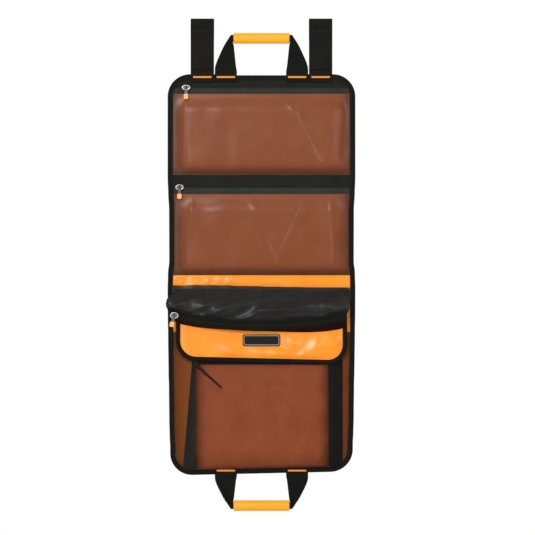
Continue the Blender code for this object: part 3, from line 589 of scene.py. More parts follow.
def swept(name, rings, look):
    """A closed skin through rings of points."""
    bm = bmesh.new()
    weave = bm.loops.layers.uv.new("weave")
    rings = [[bm.verts.new(point) for point in ring] for ring in rings]
    size = len(rings[0])
    along = [0.0]
    for first, second in zip(rings, rings[1:]):
        steps = [(b.co - a.co).length for a, b in zip(first, second)]
        along.append(along[-1] + sum(steps) / size)
    around = lengths([vert.co for vert in rings[0]] + [rings[0][0].co])
    for k in range(len(rings) - 1):
        for j in range(size):
            n = (j + 1) % size
            face = bm.faces.new((rings[k][j], rings[k + 1][j], rings[k + 1][n], rings[k][n]))
            spots = ((k, j), (k + 1, j), (k + 1, j + 1), (k, j + 1))
            for loop, (row, column) in zip(face.loops, spots):
                loop[weave].uv = (along[row], around[column])
    bm.faces.new(rings[0])
    bm.faces.new(rings[-1][::-1])
    bmesh.ops.recalc_face_normals(bm, faces=bm.faces)
    piece = new_piece(name, bm, look)
    bpy.ops.object.shade_smooth_by_angle(angle=SMOOTH_BELOW)
    return piece


def round_the_end(side, half, radius, end, way, count):
    """A path down a side's points, round a corner and along the end to its middle, then all that mirrored."""
    corner = [(radius * (1 - math.cos(a)) - half, end + way * radius * (math.sin(a) - 1)) for a in CORNER_TURNS]
    flat = [(mix(radius - half, 0, k / count), end) for k in range(1, count)]
    first = side + corner + flat
    return first + [(0, end)] + [(-x, z) for x, z in reversed(first)]


def edge_path(near, far):
    """Points (x, z) from the crease at the left, round the far end and back to the crease at the right."""
    way = 1 if far > near else -1
    side_end = far - way * CORNER_R
    half = edge_x(side_end)
    count = round(abs(side_end - near) / STEP)
    side = [(-edge_x(z), z) for z in (mix(near, side_end, k / count) for k in range(count))]
    path = round_the_end(side, half, CORNER_R, far, way, round((half - CORNER_R) / STEP))
    return [(x, z - top_dip(x)) if z > -0.2 else (x, z) for x, z in path]


def inward_at(path, k, centre):
    """The direction square to a flat path at its point k, on the side where centre lies."""
    ahead, behind = path[min(k + 1, len(path) - 1)], path[max(k - 1, 0)]
    along = Vector((ahead[0] - behind[0], ahead[1] - behind[1])).normalized()
    inward = Vector((-along.y, along.x))
    return inward if inward.dot(Vector(centre) - Vector(path[k])) >= 0 else -inward


def binding(name, path, seed):
    """The tape's section at each point of a path, square to it, with its open side towards the middle."""
    rings = []
    for k, (x, z) in enumerate(path):
        inward = inward_at(path, k, (0, CREASE_MIDDLE))
        open_more = 0.25 * wander(x, z, 0.03, seed)
        inward *= 1 + 0.05 * wander(x, z, 0.05, seed + 5)
        rings.append([
            Vector((x + inward.x * depth, (y + open_more * depth / TAPE_W) * MM, z + inward.y * depth))
            for depth, y in TAPE_SECTION
        ])
    piece = swept(name, rings, BINDING_TAPE)
    return piece


upper_tape = binding("upper_edge_tape", edge_path(STRIP_TOP, TOP_Z), 1.0)
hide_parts("upper_binding")
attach(upper_tape, "upper_panel")
lower_tape = binding("lower_edge_tape", edge_path(STRIP_LOW, BOTTOM_Z), 2.0)
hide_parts("lower_binding")
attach(lower_tape, "lower_panel")

for side, which in ((-1, "left"), (1, "right")):
    for near, high, low, crease, seed, bodies in (
        ("upper", STRIP_TOP, CREASE_MIDDLE, UPPER_CREASE, 1.0, ("upper_panel", "spine")),
        ("lower", CREASE_MIDDLE, STRIP_LOW, LOWER_CREASE, 2.0, ("spine", "lower_panel")),
    ):
        path = [(side * edge_x(z), z) for z in (mix(high, low, k / 10) for k in range(11))]
        piece = binding(f"{near}_crease_tape_{which}", path, seed)
        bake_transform(piece)
        if near == "upper":
            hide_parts("spine_binding_" + which)
print("edge tape:", len(upper_tape.data.polygons) + len(lower_tape.data.polygons), "faces")

# %% [markdown]
# ## Zipped pockets of the upper half
#
# Each pocket is a net front below a zip. Above the zip is a ribbed band, below it a strip of zip tape. The
# net is cut a little larger than the panel behind it, so it stands off it in the middle, strains towards
# its corners and keeps the creases of what it once held.

# %% Net fronts
SEAM_Y = -0.7 * MM
UNDER_BINDING = 5 * MM


def net_front(name, node, high, low, swell, seed, creases):
    """A pocket's front between two heights, sewn down at its edges.

    Each crease has its x at the top, its slant, and its half width and height in millimetres.
    """

    def place(u, v):
        z = mix(high, low, v)
        x = (2 * u - 1) * (edge_x(z) - UNDER_BINDING)
        side = smooth((edge_x(z) - 12 * MM - abs(x)) / (38 * MM))
        end = smooth(v / 0.22) * smooth((1 - v) / 0.16)  # the zip holds it further in than the bottom seam
        strain = 0.5 * wander(x + z, x - z, 0.07, seed) + 0.4 * wander(x, z * 0.4, 0.035, seed + 2)
        out = swell * mix(0.8, 1.1, v) * side * end + 1.3 * MM * strain * min(side * 2, 1) * min(end * 2, 1)
        for crease_x, slant, half_width, height in creases:
            off = (x - crease_x - slant * (z - high)) / (half_width * MM)
            out += height * MM * math.exp(-off * off) * side * end
        return Vector((x, SEAM_Y - max(out, -0.2 * MM), z))

    piece = cloth(name, 110, 52, place, 0.5 * MM, POCKET_NET)
    settle(piece, "pocket_mesh", "upper_panel", node)
    print(name, len(piece.data.polygons), "faces")
    return piece


utensil_creases = [(-0.163, 0.05, 4, 1.6), (0.172, 0.05, 3.5, 2.0), (0.05, -0.5, 5, 1.2), (0.16, -0.25, 4, 1.2)]
net_front("utensil_net", "utensil_pocket_mesh", -160.5 * MM, -333.7 * MM, 7 * MM, 11.0, utensil_creases)
spice_creases = [
    (-0.148, 0.10, 3.5, 2.0), (0.150, -0.04, 3.5, 2.4), (0.172, -0.2, 4, 1.6), (0.10, 0.45, 5, 1.2),
    (-0.03, -0.5, 6, 0.9),
]
spice_net = net_front("spice_net", "spice_pocket_mesh", -376 * MM, -549.9 * MM, 7.5 * MM, 17.0, spice_creases)
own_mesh(spice_net)

# %% [markdown]
# ## Zips
#
# A band of ribbed cloth and a strip of tape hold each zip. The teeth are one nylon wire wound as a coil,
# and a coil is what gets modelled: a thin round section carried round and round along the zip. Six corners
# to a turn keep each of the many turns to a few dozen faces.


# %% Bands, tapes and coils
COIL_PITCH, COIL_CORNERS, COIL_RADIUS = 2.2 * MM, 6, 1.1 * MM
COIL_FLAT = 0.75  # a zip's coil is pressed flat to this share of its width
WIRE_RADIUS = 0.42 * MM
ZIP_Y = -1.9 * MM
ZIP_END = 13 * MM  # from the caddy's edge to the coil


def flat_strip(pocket, kind, high, low, look, ribs, seed, rows):
    """Cloth sewn flat across the panel; each rib is a fold across it at a share of its height."""

    def place(u, v):
        z = mix(high, low, v)
        x = (2 * u - 1) * (edge_x(z) - UNDER_BINDING)
        rise = sum(0.9 * MM * math.exp(-(((v - rib) / 0.07) ** 2)) for rib in ribs)
        rise *= 1 + 0.2 * wander(x, 0, 0.03, seed)
        return Vector((x, SEAM_Y - rise - 0.15 * MM * wander(x, z, 0.02, seed), z))

    piece = cloth(f"{pocket}_{kind}", 90, rows, place, 0.5 * MM, look)
    settle(piece, "zip_" + kind, "upper_panel", f"{pocket}_zip_{kind}")


def coil_row(pocket, body, zip_point, span):
    """Nylon wire wound along a zip: zip_point(distance) is the place there and the way that is up."""
    count = round(span / COIL_PITCH) * COIL_CORNERS

    def at(k):
        point, up = zip_point(span * k / count)
        turn = math.radians(360) * k / COIL_CORNERS
        out = Vector((0, COIL_FLAT * COIL_RADIUS * math.sin(turn), 0))
        return point + up * (COIL_RADIUS * math.cos(turn)) + out

    def ring(k):
        here, ahead = at(k), at(k + 1)
        along = (ahead - at(k - 1)).normalized()
        side = along.cross(Vector((0, 1, 0))).normalized()
        up = side.cross(along)
        return [
            here + side * (WIRE_RADIUS * math.cos(a)) + up * (WIRE_RADIUS * math.sin(a))
            for a in (math.radians(90) * j + 0.4 for j in range(4))
        ]

    piece = swept(pocket + "_coil", [ring(k) for k in range(count + 1)], COIL_NYLON)
    settle(piece, "zip_coil", body, pocket + "_zip_coil")
    print(piece.name, len(piece.data.polygons), "faces")


for pocket, band_top, zip_z, net_top, ribs, seed in (
    ("utensil_pocket", -123 * MM, -147 * MM, -160.5 * MM, (0.3, 0.62), 3.0),
    ("spice_pocket", -334 * MM, -361 * MM, -376 * MM, (0.16, 0.48, 0.8), 9.0),
):
    flat_strip(pocket, "band", band_top, zip_z + 0.2 * MM, BAND_CLOTH, ribs, seed, 36)
    flat_strip(pocket, "tape", zip_z - 0.2 * MM, net_top + CLEAR, ZIP_CLOTH, (0.75,), seed + 1, 14)

    def zip_point(along, start=-edge_x(zip_z) + ZIP_END, z=zip_z):
        return Vector((start + along, ZIP_Y, z)), Vector((0, 0, 1))

    coil_row(pocket, "upper_panel", zip_point, 2 * (edge_x(zip_z) - ZIP_END))

# %% [markdown]
# ## Hanging straps
#
# Each strap is one length of 50 mm webbing. It is sewn over the binding with a bar tack, runs up, turns
# over in a loop and comes down in front, where hook-and-loop tape closes it. It can be bent along a line of
# points, with its own weave running along it. The back piece bends at the top seam and the front one at the
# loop.

# %% Webbing along a path
WEB_T = 1.7 * MM
WEB_Y = -3.6 * MM
WEB_HALF = 25 * MM
LOOP_R = 9.85 * MM
STRAP_X = 127 * MM
LEAF_Y = -6.95 * MM


def along_line(points):
    """The length of a line through pairs of numbers, and the function from a share of it to the pair there."""
    runs = lengths([Vector(point) for point in points])

    def at(share):
        target = runs[-1] * share
        k = max(j for j in range(len(runs) - 1) if runs[j] <= target + 1e-9)
        part = min((target - runs[k]) / max(runs[k + 1] - runs[k], 1e-9), 1)
        return [mix(a, b, part) for a, b in zip(points[k], points[k + 1])]

    return runs[-1], at


def webbing(name, path, middle_x, seed):
    """A strap's webbing through a path's (y, z) points, with a faint ripple."""
    length, at = along_line(path)

    def place(u, v):
        y, z = at(v)
        x = middle_x + (2 * u - 1) * WEB_HALF
        return Vector((x, y - 0.25 * MM * wander(x, z, 0.02, seed), z))

    piece = cloth(name, 16, max(8, round(length / (3 * MM))), place, WEB_T, STRAP_WEBBING)
    return piece


def rounded_path(points, radius, steps=5):
    """The same (y, z) corners, each turned as an arc of about this radius."""
    path = [points[0]]
    for before, corner, after in zip(points, points[1:], points[2:]):
        c = Vector(corner)
        into, out = Vector(before) - c, Vector(after) - c
        cut = min(radius, into.length / 2, out.length / 2)
        first, last = c + into.normalized() * cut, c + out.normalized() * cut
        for step in range(steps + 1):
            t = step / steps
            path.append(tuple(first * (1 - t) ** 2 + c * 2 * t * (1 - t) + last * t * t))
    return [*path, points[-1]]


loop_turns = [math.radians(15 * k) for k in range(13)]
loop = [(LOOP_R * math.cos(a), LOOP_R * math.sin(a) - 9 * MM) for a in loop_turns]
back_corners = [
    (WEB_Y, TOP_Z - 17.7 * MM), (WEB_Y, -72 * MM), (WEB_Y + 1 * MM, -58 * MM), (LOOP_R, -22 * MM), loop[0],
]
back_path = rounded_path(back_corners, 18 * MM) + loop[1:]
front_corners = [(-LOOP_R, -9.6 * MM), (-LOOP_R, -16 * MM), (LEAF_Y, -56 * MM), (LEAF_Y, -108 * MM)]
front_path = [loop[-1]] + rounded_path(front_corners, 14 * MM)[1:]

for side, which in ((-1, "left"), (1, "right")):
    back = webbing(f"strap_{which}_webbing", back_path, side * STRAP_X, 21.0 + side)
    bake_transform(back)
    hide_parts(f"strap_{which}_back", "strap_tab_" + which)
    leaf = webbing(f"strap_{which}_front_leaf", front_path, side * STRAP_X, 31.0 + side)
    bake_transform(leaf)
    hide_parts(f"strap_{which}_front")
    repaint(f"strap_{which}_loop_strip", BLACK_THREAD)

# %% [markdown]
# ## Stitches
#
# A bar tack is a bar of orange thread over a tab: close upright stitches that lean this way and that. A
# seam is a row of longer ones. One row holds the edge tape all round, and it shows on both faces. At the
# back, the rows that hold the bands and the hem come through the bare tarpaulin. Black thread on black tape
# shows only as a glint, and each stitch is a few faces, because there are hundreds.

# %% Bar tacks and rows of stitches
TACK_W, TACK_H, TACK_STITCHES, TACK_THREAD = 39 * MM, 4.0 * MM, 34, 0.72 * MM
TACK_Z = -124.5 * MM
SEAM_PITCH, SEAM_STITCH, SEAM_THREAD = 4 * MM, 2.9 * MM, 0.3 * MM


def stitch(bm, rings):
    """One stitch: a closed skin through rings of points."""
    rings = [[bm.verts.new(point) for point in ring] for ring in rings]
    for first, second in zip(rings, rings[1:]):
        for j in range(len(first)):
            n = (j + 1) % len(first)
            bm.faces.new((first[j], second[j], second[n], first[n]))
    bm.faces.new(rings[0])
    bm.faces.new(rings[-1][::-1])


def thread_piece(name, bm, look):
    bmesh.ops.recalc_face_normals(bm, faces=bm.faces)
    piece = new_piece(name, bm, look)
    bpy.ops.object.shade_smooth_by_angle(angle=math.radians(60))
    return piece


def bar_tack(name, x, z, body, node):
    """A bar of thread across a tab, which stands for the node that the engineering model has there."""
    bm = bmesh.new()
    for k in range(TACK_STITCHES):
        foot = Vector((x + ((k + 0.5) / TACK_STITCHES - 0.5) * TACK_W, WEB_Y - 1.0 * MM, z))
        lean = Vector((0.12 if k % 2 else -0.12, 0, 1))
        stitch(bm, [
            [
                foot + lean * (TACK_H * share)
                + Vector((TACK_THREAD * math.cos(a), (lift + 0.45 * math.sin(a)) * MM, 0))
                for a in (math.radians(60) * j for j in range(6))
            ]
            for share, lift in ((-0.5, 0.4), (-0.4, -0.15), (0, -0.3), (0.4, -0.15), (0.5, 0.4))
        ])
    settle(thread_piece(name, bm, ORANGE_THREAD), "bar_tack_thread", body, node)


def seam(name, points, face, body):
    """A row of stitches along a line of points; face is the way that they stand off the cloth."""
    points, face = [Vector(point) for point in points], Vector(face)
    runs = lengths(points)
    bm = bmesh.new()
    for number in range(int(runs[-1] / SEAM_PITCH)):
        target = SEAM_PITCH * (number + 0.5)
        k = max(j for j in range(len(points) - 1) if runs[j] <= target)
        along = (points[k + 1] - points[k]).normalized()
        middle = points[k] + along * (target - runs[k])
        side = along.cross(face)
        stitch(bm, [
            [
                middle + along * (SEAM_STITCH * share) + face * (lift * MM)
                + (side * math.cos(a) + face * math.sin(a)) * SEAM_THREAD
                for a in (math.radians(90) * j for j in range(4))
            ]
            for share, lift in ((-0.5, -0.1), (-0.3, 0.28), (0.3, 0.28), (0.5, -0.1))
        ])
    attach(thread_piece(name, bm, BLACK_THREAD), body)


def inside_edge(path, away, y):
    """The points of an edge path, moved this far in from the edge."""
    moved = []
    for k, (x, z) in enumerate(path):
        inward = inward_at(path, k, (0, CREASE_MIDDLE))
        moved.append(Vector((x + inward.x * away, y, z + inward.y * away)))
    return moved


for side, which in ((-1, "left"), (1, "right")):
    x = side * STRAP_X
    bar_tack(f"strap_{which}_bar_tack", x, TACK_Z, "upper_panel", "strap_tack_" + which)
    for drop in (24, 27):
        y = mix(-LOOP_R, LEAF_Y, (drop - 16) / 40) - 0.9 * MM
        ends = [(x - 23 * MM, y, -drop * MM), (x + 23 * MM, y, -drop * MM)]
        seam(f"strap_{which}_stitches_{drop}", ends, (0, -1, 0), f"strap_{which}_leaf")
for body, near, far in (("upper_panel", STRIP_TOP, TOP_Z), ("lower_panel", STRIP_LOW, BOTTOM_Z)):
    for face, y, which in ((-1, -2.5 * MM, "front"), (1, 3.35 * MM, "back")):
        row = inside_edge(edge_path(near, far), 8.2 * MM, y)
        seam(f"{body}_tape_stitches_{which}", row, (0, face, 0), body)
for drop, body in ((155, "upper_panel"), (335, "upper_panel"), (373, "upper_panel"), (587, "lower_panel")):
    half = edge_x(-drop * MM) - TAPE_W
    ends = [(-half, 1.95 * MM, -drop * MM), (half, 1.95 * MM, -drop * MM)]
    seam(f"back_stitches_{drop}", ends, (0, 1, 0), body)

# %% [markdown]
# ## Handles
#
# A handle is webbing too: flat at both sewn ends, folded in half as it narrows, and rolled where it runs
# through the grip. Its section changes along it, so it is lofted through sections rather than bent from a
# flat strip. The grip is a vinyl sleeve, and its shape is already right in the engineering model.

# %% Lofted handles
LEG_X, LEG_W = 76.5 * MM, 47.5 * MM
GRIP_HALF, BORE = 60 * MM, 7.5 * MM
SECTION_STEPS, SECTION_CORNERS = 4, 20

# From the seam to the grip, as shares of the way: outer x and z, inner x and z, and thickness in millimetres
LEG_RISE = [
    (0.000, 0.10, 0.02, 0.09, 1.8), (0.015, 0.19, 0.2, 0.16, 2.0), (0.09, 0.32, 0.34, 0.27, 2.4),
    (0.19, 0.45, 0.45, 0.37, 3.2), (0.31, 0.59, 0.58, 0.49, 4.2), (0.43, 0.73, 0.7, 0.6, 5.2),
    (0.54, 0.84, 0.8, 0.69, 6.6), (0.65, 0.93, 0.9, 0.78, 8.2),
]


def handle_sections(reach, tab_end):
    """The webbing's sections from tab to tab: outer x and height, inner x and height, and thickness in mm."""
    outer, inner = LEG_X + LEG_W / 2, LEG_X - LEG_W / 2
    tab = [
        (outer, height, inner, height, thick)
        for height, thick in ((tab_end, 1.7), (tab_end * 0.5, 1.75), (-1.5 * MM, 1.8), (0, 1.8))
    ]
    leg = [
        (mix(outer, GRIP_HALF, a), reach * b, mix(inner, GRIP_HALF, c), reach * d, thick)
        for a, b, c, d, thick in LEG_RISE
    ]
    roll = [
        (GRIP_HALF + 6 * MM, reach + BORE, GRIP_HALF + 1 * MM, reach - BORE, 10.5),
        (GRIP_HALF - 4 * MM, reach + BORE, GRIP_HALF - 4 * MM, reach - BORE, 13.5),
        (0, reach + BORE, 0, reach - BORE, 13.5),
    ]
    half = tab + leg + roll
    sections = [(-ox, oz, -ix, iz, thick) for ox, oz, ix, iz, thick in half] + half[-2::-1]
    fine = []
    for first, second in zip(sections, sections[1:]):
        for step in range(SECTION_STEPS):
            fine.append([mix(a, b, step / SECTION_STEPS) for a, b in zip(first, second)])
    return [*fine, sections[-1]]


def squared(value, power):
    """A cosine or sine to a power below 1, with its sign, which squares a round section up."""
    return math.copysign(abs(value) ** power, value) if abs(value) > 1e-9 else 0.0


def handle_ring(section, hinge_z, way):
    """The points round one section: an ellipse at the grip, squarer at the tabs, and creased where it folds."""
    outer_x, outer_z, inner_x, inner_z, thick = section
    thick *= MM
    high = Vector((outer_x, WEB_Y, hinge_z + way * outer_z))
    low = Vector((inner_x, WEB_Y, hinge_z + way * inner_z))
    middle, across = (high + low) / 2, (high - low) / 2
    power = mix(0.3, 1.0, smooth((thick - 1.8 * MM) / (10 * MM)))
    fold = smooth((thick - 2.0 * MM) / (4 * MM)) * (1 - smooth((thick - 7 * MM) / (4 * MM)))
    points = []
    for j in range(SECTION_CORNERS):
        a = math.radians(360) * j / SECTION_CORNERS
        wide, deep = squared(math.cos(a), power), squared(math.sin(a), power)
        crease = 0.45 * fold * math.exp(-((wide * 3) ** 2)) if math.sin(a) < 0 else 0.0
        spot = middle + across * wide + Vector((0, deep * thick / 2 * (1 - crease), 0))
        spot.y += 0.25 * MM * wander(spot.x, spot.z, 0.016, hinge_z * 9)
        points.append(spot)
    return points


for body, panel, hinge_z, way, reach, tab_end, tack_z in (
    ("top_handle", "upper_panel", -116.8 * MM, 1, 75.5 * MM, -18 * MM, TACK_Z),
    ("bottom_handle", "lower_panel", -977.2 * MM, -1, 67.5 * MM, -10.9 * MM, -969.5 * MM),
):
    rings = [handle_ring(section, hinge_z, way) for section in handle_sections(reach, tab_end)]
    loft = swept(body + "_loft", rings, HANDLE_WEBBING)
    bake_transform(loft)
    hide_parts(body + "_webbing", body + "_tab_left", body + "_tab_right")
    for side, which in ((-1, "left"), (1, "right")):
        bar_tack(f"{body}_bar_tack_{which}", side * LEG_X, tack_z, panel, f"{body}_tack_{which}")
    repaint(body + "_grip", GRIP_VINYL)
    print(loft.name, len(loft.data.polygons), "faces")

# %% [markdown]
# ## Deep pocket
#
# The lower half has a bag: a net front that hangs from a taped hem, two black cloth gussets that let it
# stand out, and a net lining sewn flat on the tarpaulin. The front is drawn as a line down its middle
# section, from the hem to the bottom seam, and swept across. The fold where spare net is tucked in is a
# sheet of its own, drawn near black, partly for its folded net and partly as painted shadow in the fold.

# %% Net lining, front and tuck
HEM_Z, SHOULDER_Z, POCKET_FOOT = -731.5 * MM, -922 * MM, -964 * MM
HEM_DEPTH, SHOULDER_DEPTH, FLOOR_DROP = 10 * MM, 27 * MM, 42 * MM
BAG_LEFT, BAG_RIGHT = -140 * MM, 143 * MM
TUCK_START, TUCK_END = Vector((-139 * MM, 0, -742 * MM)), Vector((-85 * MM, 0, -790 * MM))
TUCK_SQUARE = Vector((0.665, 0, 0.747))  # the direction across the tuck


def lining_point(u, v):
    z = mix(-672 * MM, POCKET_FOOT, v)
    return Vector(((2 * u - 1) * (edge_x(z) - 9 * MM), SEAM_Y - 0.1 * MM, z))


def bag_profile():
    """Points (depth, z) down the front: straight to the shoulder, then round to the bottom seam."""
    line = [(mix(HEM_DEPTH, SHOULDER_DEPTH, k / 30), mix(HEM_Z, SHOULDER_Z, k / 30)) for k in range(30)]
    for k in range(12):
        a = math.radians(7.5 * k)
        line.append((SHOULDER_DEPTH * math.cos(a) ** 0.8, SHOULDER_Z - FLOOR_DROP * math.sin(a)))
    return line + [(0.6 * MM, SHOULDER_Z - FLOOR_DROP), (0.4 * MM, -968 * MM), (0.3 * MM, -971 * MM)]


bag_length, down_profile = along_line(bag_profile())


def bag_front(u, v):
    depth, z = down_profile(v)
    x = mix(BAG_LEFT, BAG_RIGHT, u)
    held = smooth(u / 0.2) * smooth((1 - u) / 0.2) * smooth(v / 0.25) * smooth((0.93 - v) / 0.2)
    soft = 0.9 * wander(x, z * 0.35, 0.05, 41.0) + 0.5 * wander(x + z, z - x, 0.045, 43.0)
    return Vector((x, SEAM_Y - depth - (3.0 * MM + 1.6 * MM * soft) * held, z))


def tuck_point(u, v):
    """The pleat where the front's spare net is folded over, from the hem's corner slantwise down."""
    spot = TUCK_START.lerp(TUCK_END, u)
    across = TUCK_SQUARE * ((v - 0.5) * mix(6.4 * MM, 2.4 * MM, u))
    depth = down_profile((HEM_Z - spot.z) / bag_length)[0] + 3.4 * MM * smooth(u / 0.5) + 1.0 * MM
    return Vector((spot.x, SEAM_Y - depth - 1.2 * MM * math.sin(math.pi * v), spot.z)) + across


lining = cloth("lower_lining_net", 60, 48, lining_point, 0.5 * MM, LINING_NET)
settle(lining, "pocket_mesh", "lower_panel", "lower_mesh_lining")
front = cloth("deep_pocket_net", 96, 90, bag_front, 0.5 * MM, OPEN_NET)
settle(front, "pocket_mesh", "lower_panel", "deep_pocket_mesh")
# The tuck's near-black net is partly its fold, partly painted shadow
tuck = cloth("bag_tuck_net", 24, 6, tuck_point, 0.8 * MM, SHADED_FOLD_NET)
settle(tuck, "pocket_mesh", "lower_panel")
print("bag front", round(bag_length / MM), "mm from hem to seam")

# %% [markdown]
# ## Gussets and hem
#
# A gusset is a strip of black cloth from the front's edge to the panel. The right one stands nearly
# straight and is drawn in the darker strap webbing, as painted shade; the left one is partly folded in, so
# its back edge slants. The hem is a tape folded over the net's top.

# %% Gussets, hem and the hang of the lower half
HEM_LEAN = 0.076  # how far the hem leans back for its height
HEM_HALF = 137 * MM

# Height, and how far out the left gusset's back edge lies there, in millimetres
FOLDED_EDGE = [(-731.5, 149), (-754, 150.5), (-843, 158.5), (-914, 164.7), (-950, 168), (-962, 168)]

# Millimetres back and up, round the hem tape's section
HEM_LOOP = [
    (-1.3, -10.0), (-1.5, 0.2), (-0.7, 1.2), (0.7, 1.2), (1.4, 0.2), (1.2, -10.0), (0.5, -10.0), (0.6, 0.0),
    (-0.6, 0.0), (-0.6, -10.0),
]


def folded_edge(z):
    for (high, first), (low, last) in zip(FOLDED_EDGE, FOLDED_EDGE[1:]):
        if z / MM >= low:
            return mix(first, last, (high - z / MM) / (high - low)) * MM
    return FOLDED_EDGE[-1][1] * MM


def gusset(which, side, front_x, back_x, slack, look):
    """A strip from the front's edge, at front_x, to the panel, at back_x(z), which bows by its slack."""

    def place(u, v):
        z = mix(HEM_Z, POCKET_FOOT, v)
        depth = mix(HEM_DEPTH, SHOULDER_DEPTH, (HEM_Z - z) / (HEM_Z - SHOULDER_Z))
        if z < SHOULDER_Z:
            depth = SHOULDER_DEPTH * math.sqrt(max(1 - ((SHOULDER_Z - z) / FLOOR_DROP) ** 2, 0.02))
        bow = math.sin(math.pi * u) * slack
        x = mix(back_x(z), front_x, u) + bow * 0.4 * wander(0.2, z, 0.03, 51.0 + side)
        y = SEAM_Y - 0.8 * MM - (depth - 0.8 * MM) * smooth(u) ** 0.8 - bow * 0.5
        return Vector((side * x, y, z))

    piece = cloth(f"gusset_cloth_{which}", 10, 60, place, 0.6 * MM, look)
    settle(piece, "zip_band", "lower_panel", "deep_pocket_gusset_" + which)


gusset("left", -1, 0.6 * MM - BAG_LEFT, folded_edge, 2.0 * MM, GUSSET_CLOTH)
# Painted shade: the right gusset gets the darker strap webbing, though both are the same black cloth
gusset("right", 1, 0.6 * MM + BAG_RIGHT, lambda z: 174.5 * MM, 1.4 * MM, STRAP_WEBBING)

# The left one is a mirror image, so its faces point inwards until they are turned
left_gusset = bpy.data.objects["gusset_cloth_left"]
bpy.ops.object.select_all(action="DESELECT")
left_gusset.select_set(True)
bpy.context.view_layer.objects.active = left_gusset
bpy.ops.object.mode_set(mode="EDIT")
bpy.ops.mesh.select_all(action="SELECT")
bpy.ops.mesh.normals_make_consistent(inside=False)
bpy.ops.object.mode_set(mode="OBJECT")


def hang_askew(piece):
    """The lower half doesn't hang quite square: its right corner is a little higher than its left."""
    for vert in piece.data.vertices:
        vert.co.z += 0.022 * vert.co.x * smooth((-0.62 - vert.co.z) / 0.34)


for name in (
    "lower_cloth", "lower_edge_tape", "lower_lining_net", "deep_pocket_net", "bag_tuck_net",
    "gusset_cloth_left", "gusset_cloth_right",
):
    hang_askew(bpy.data.objects[name])


def hem_ring(x):
    lift = 0.2 * wander(x, 0, 0.05, 61.0)
    return [
        Vector((x, SEAM_Y - HEM_DEPTH + (back + HEM_LEAN * up) * MM, HEM_Z + (up + lift) * MM))
        for back, up in HEM_LOOP
    ]


rings = [hem_ring(mix(-HEM_HALF, HEM_HALF, k / 60)) for k in range(61)]
hem = swept("deep_pocket_hem_tape", rings, BINDING_TAPE)
settle(hem, "edge_binding", "lower_panel", "deep_pocket_hem")
print("hem", round(2 * HEM_HALF / MM), "mm wide")

# %% [markdown]
# ## Flap
#
# A tongue of tarpaulin hangs from a rolled seam and covers the deep pocket. It leans out over the hem, so
# its pieces are placed in the flap's own frame: across, out from the cloth, and down from the seam. Its
# gloss shows that it isn't flat: shallow ridges lie round the patch and along the lower edge.

# %% Flap cloth, its binding and the rolled seam
SEAM_AXIS = Vector((0, -2.5 * MM, LOWER_CREASE))
LEAN = math.radians(4.8413)
FLAP_HALF, FLAP_L, FLAP_R = 183.5 * MM, 160 * MM, 43 * MM
PATCH_DOWN, PATCH_HALF_W, PATCH_HALF_H = 111 * MM, 40 * MM, 12.5 * MM
ROLL_HALF, ROLL_R = 186 * MM, 2.1 * MM

# Place across and down, slant in degrees, half length, half width and height, in millimetres
RIDGES = [
    (-62, 140, -16, 34, 12, 3.4), (-4, 142, 0, 24, 12, 2.8), (58, 142, -6, 34, 13, 3.6),
    (68, 118, -30, 16, 12, 3.2), (114, 132, 68, 30, 15, 4.4), (90, 141, 50, 18, 11, 3.0),
    (158, 116, 8, 30, 10, 3.2), (30, 140, 10, 20, 12, 2.6),
]

# Millimetres in from the edge and out from the cloth, with a cord's ridge near each edge of the lip
FLAP_SECTION = [
    (9.5, 2.25), (8.2, 2.9), (6.9, 2.3), (3.0, 2.3), (1.9, 2.9), (0.7, 2.2), (0, 0.8), (0, -0.8), (0.7, -1.9),
    (2.0, -2.25), (9.5, -2.25), (9.5, -1.35), (1.6, -1.3), (1.0, -0.6), (1.0, 0.6), (1.6, 1.3), (9.5, 1.35),
]


def on_flap(x, out, down):
    """A point in the flap's frame, as a point of the scene."""
    back = -out * math.cos(LEAN) - down * math.sin(LEAN)
    return SEAM_AXIS + Vector((x, back, out * math.sin(LEAN) - down * math.cos(LEAN)))


def droop(x, down):
    """The flap hangs a little lower at its right than at its left."""
    return (0.024 * x - 1.1 * MM) * smooth(down / FLAP_L)


def flap_half(down):
    past = down - (FLAP_L - FLAP_R)
    return FLAP_HALF - (FLAP_R - math.sqrt(max(FLAP_R**2 - past**2, 0)) if past > 0 else 0)


def flap_ridges(x, down):
    """How far the flap's cloth stands out: a few soft ridges, as in cloth that was once folded."""
    calm = smooth((flap_half(down) - abs(x) - 9 * MM) / (14 * MM))
    calm *= smooth((FLAP_L - 10 * MM - down) / (9 * MM))
    beside_patch = max(abs(x) - PATCH_HALF_W, 0) + max(abs(down - PATCH_DOWN) - PATCH_HALF_H, 0)
    out = 0.5 + 0.5 * wander(x, down, 0.07, 71.0)
    for ridge_x, ridge_down, slant, long, wide, high in RIDGES:
        turn = math.radians(slant)
        away_x, away_down = x / MM - ridge_x, down / MM - ridge_down
        along = (away_x * math.cos(turn) - away_down * math.sin(turn)) / long
        aside = (away_x * math.sin(turn) + away_down * math.cos(turn)) / wide
        out += high * math.exp(-along * along - aside * aside)
    return max(out, 0) * MM * calm * smooth(beside_patch / (8 * MM))


def flap_point(u, v):
    down = mix(2.5 * MM, FLAP_L - TAPE_T - CLEAR, v)
    x = (2 * u - 1) * (flap_half(min(down, FLAP_L - 1.4 * MM)) - TAPE_T - CLEAR)
    return on_flap(x, 0.1 * MM + flap_ridges(x, down), down + droop(x, down))


def flap_ring(path, k):
    x, down = path[k]
    inward = inward_at(path, k, (0, 60 * MM))
    more = 0.15 * wander(x, down, 0.03, 81.0)
    return [
        on_flap(x + inward.x * depth * MM, (out + more) * MM, down + inward.y * depth * MM + droop(x, down))
        for depth, out in FLAP_SECTION
    ]


def roll_ring(x):
    radius = ROLL_R * (1 + 0.06 * wander(x, 0, 0.02, 91.0))
    turns = [math.radians(30 * j) for j in range(12)]
    return [SEAM_AXIS + Vector((x, radius * math.cos(a), radius * math.sin(a))) for a in turns]


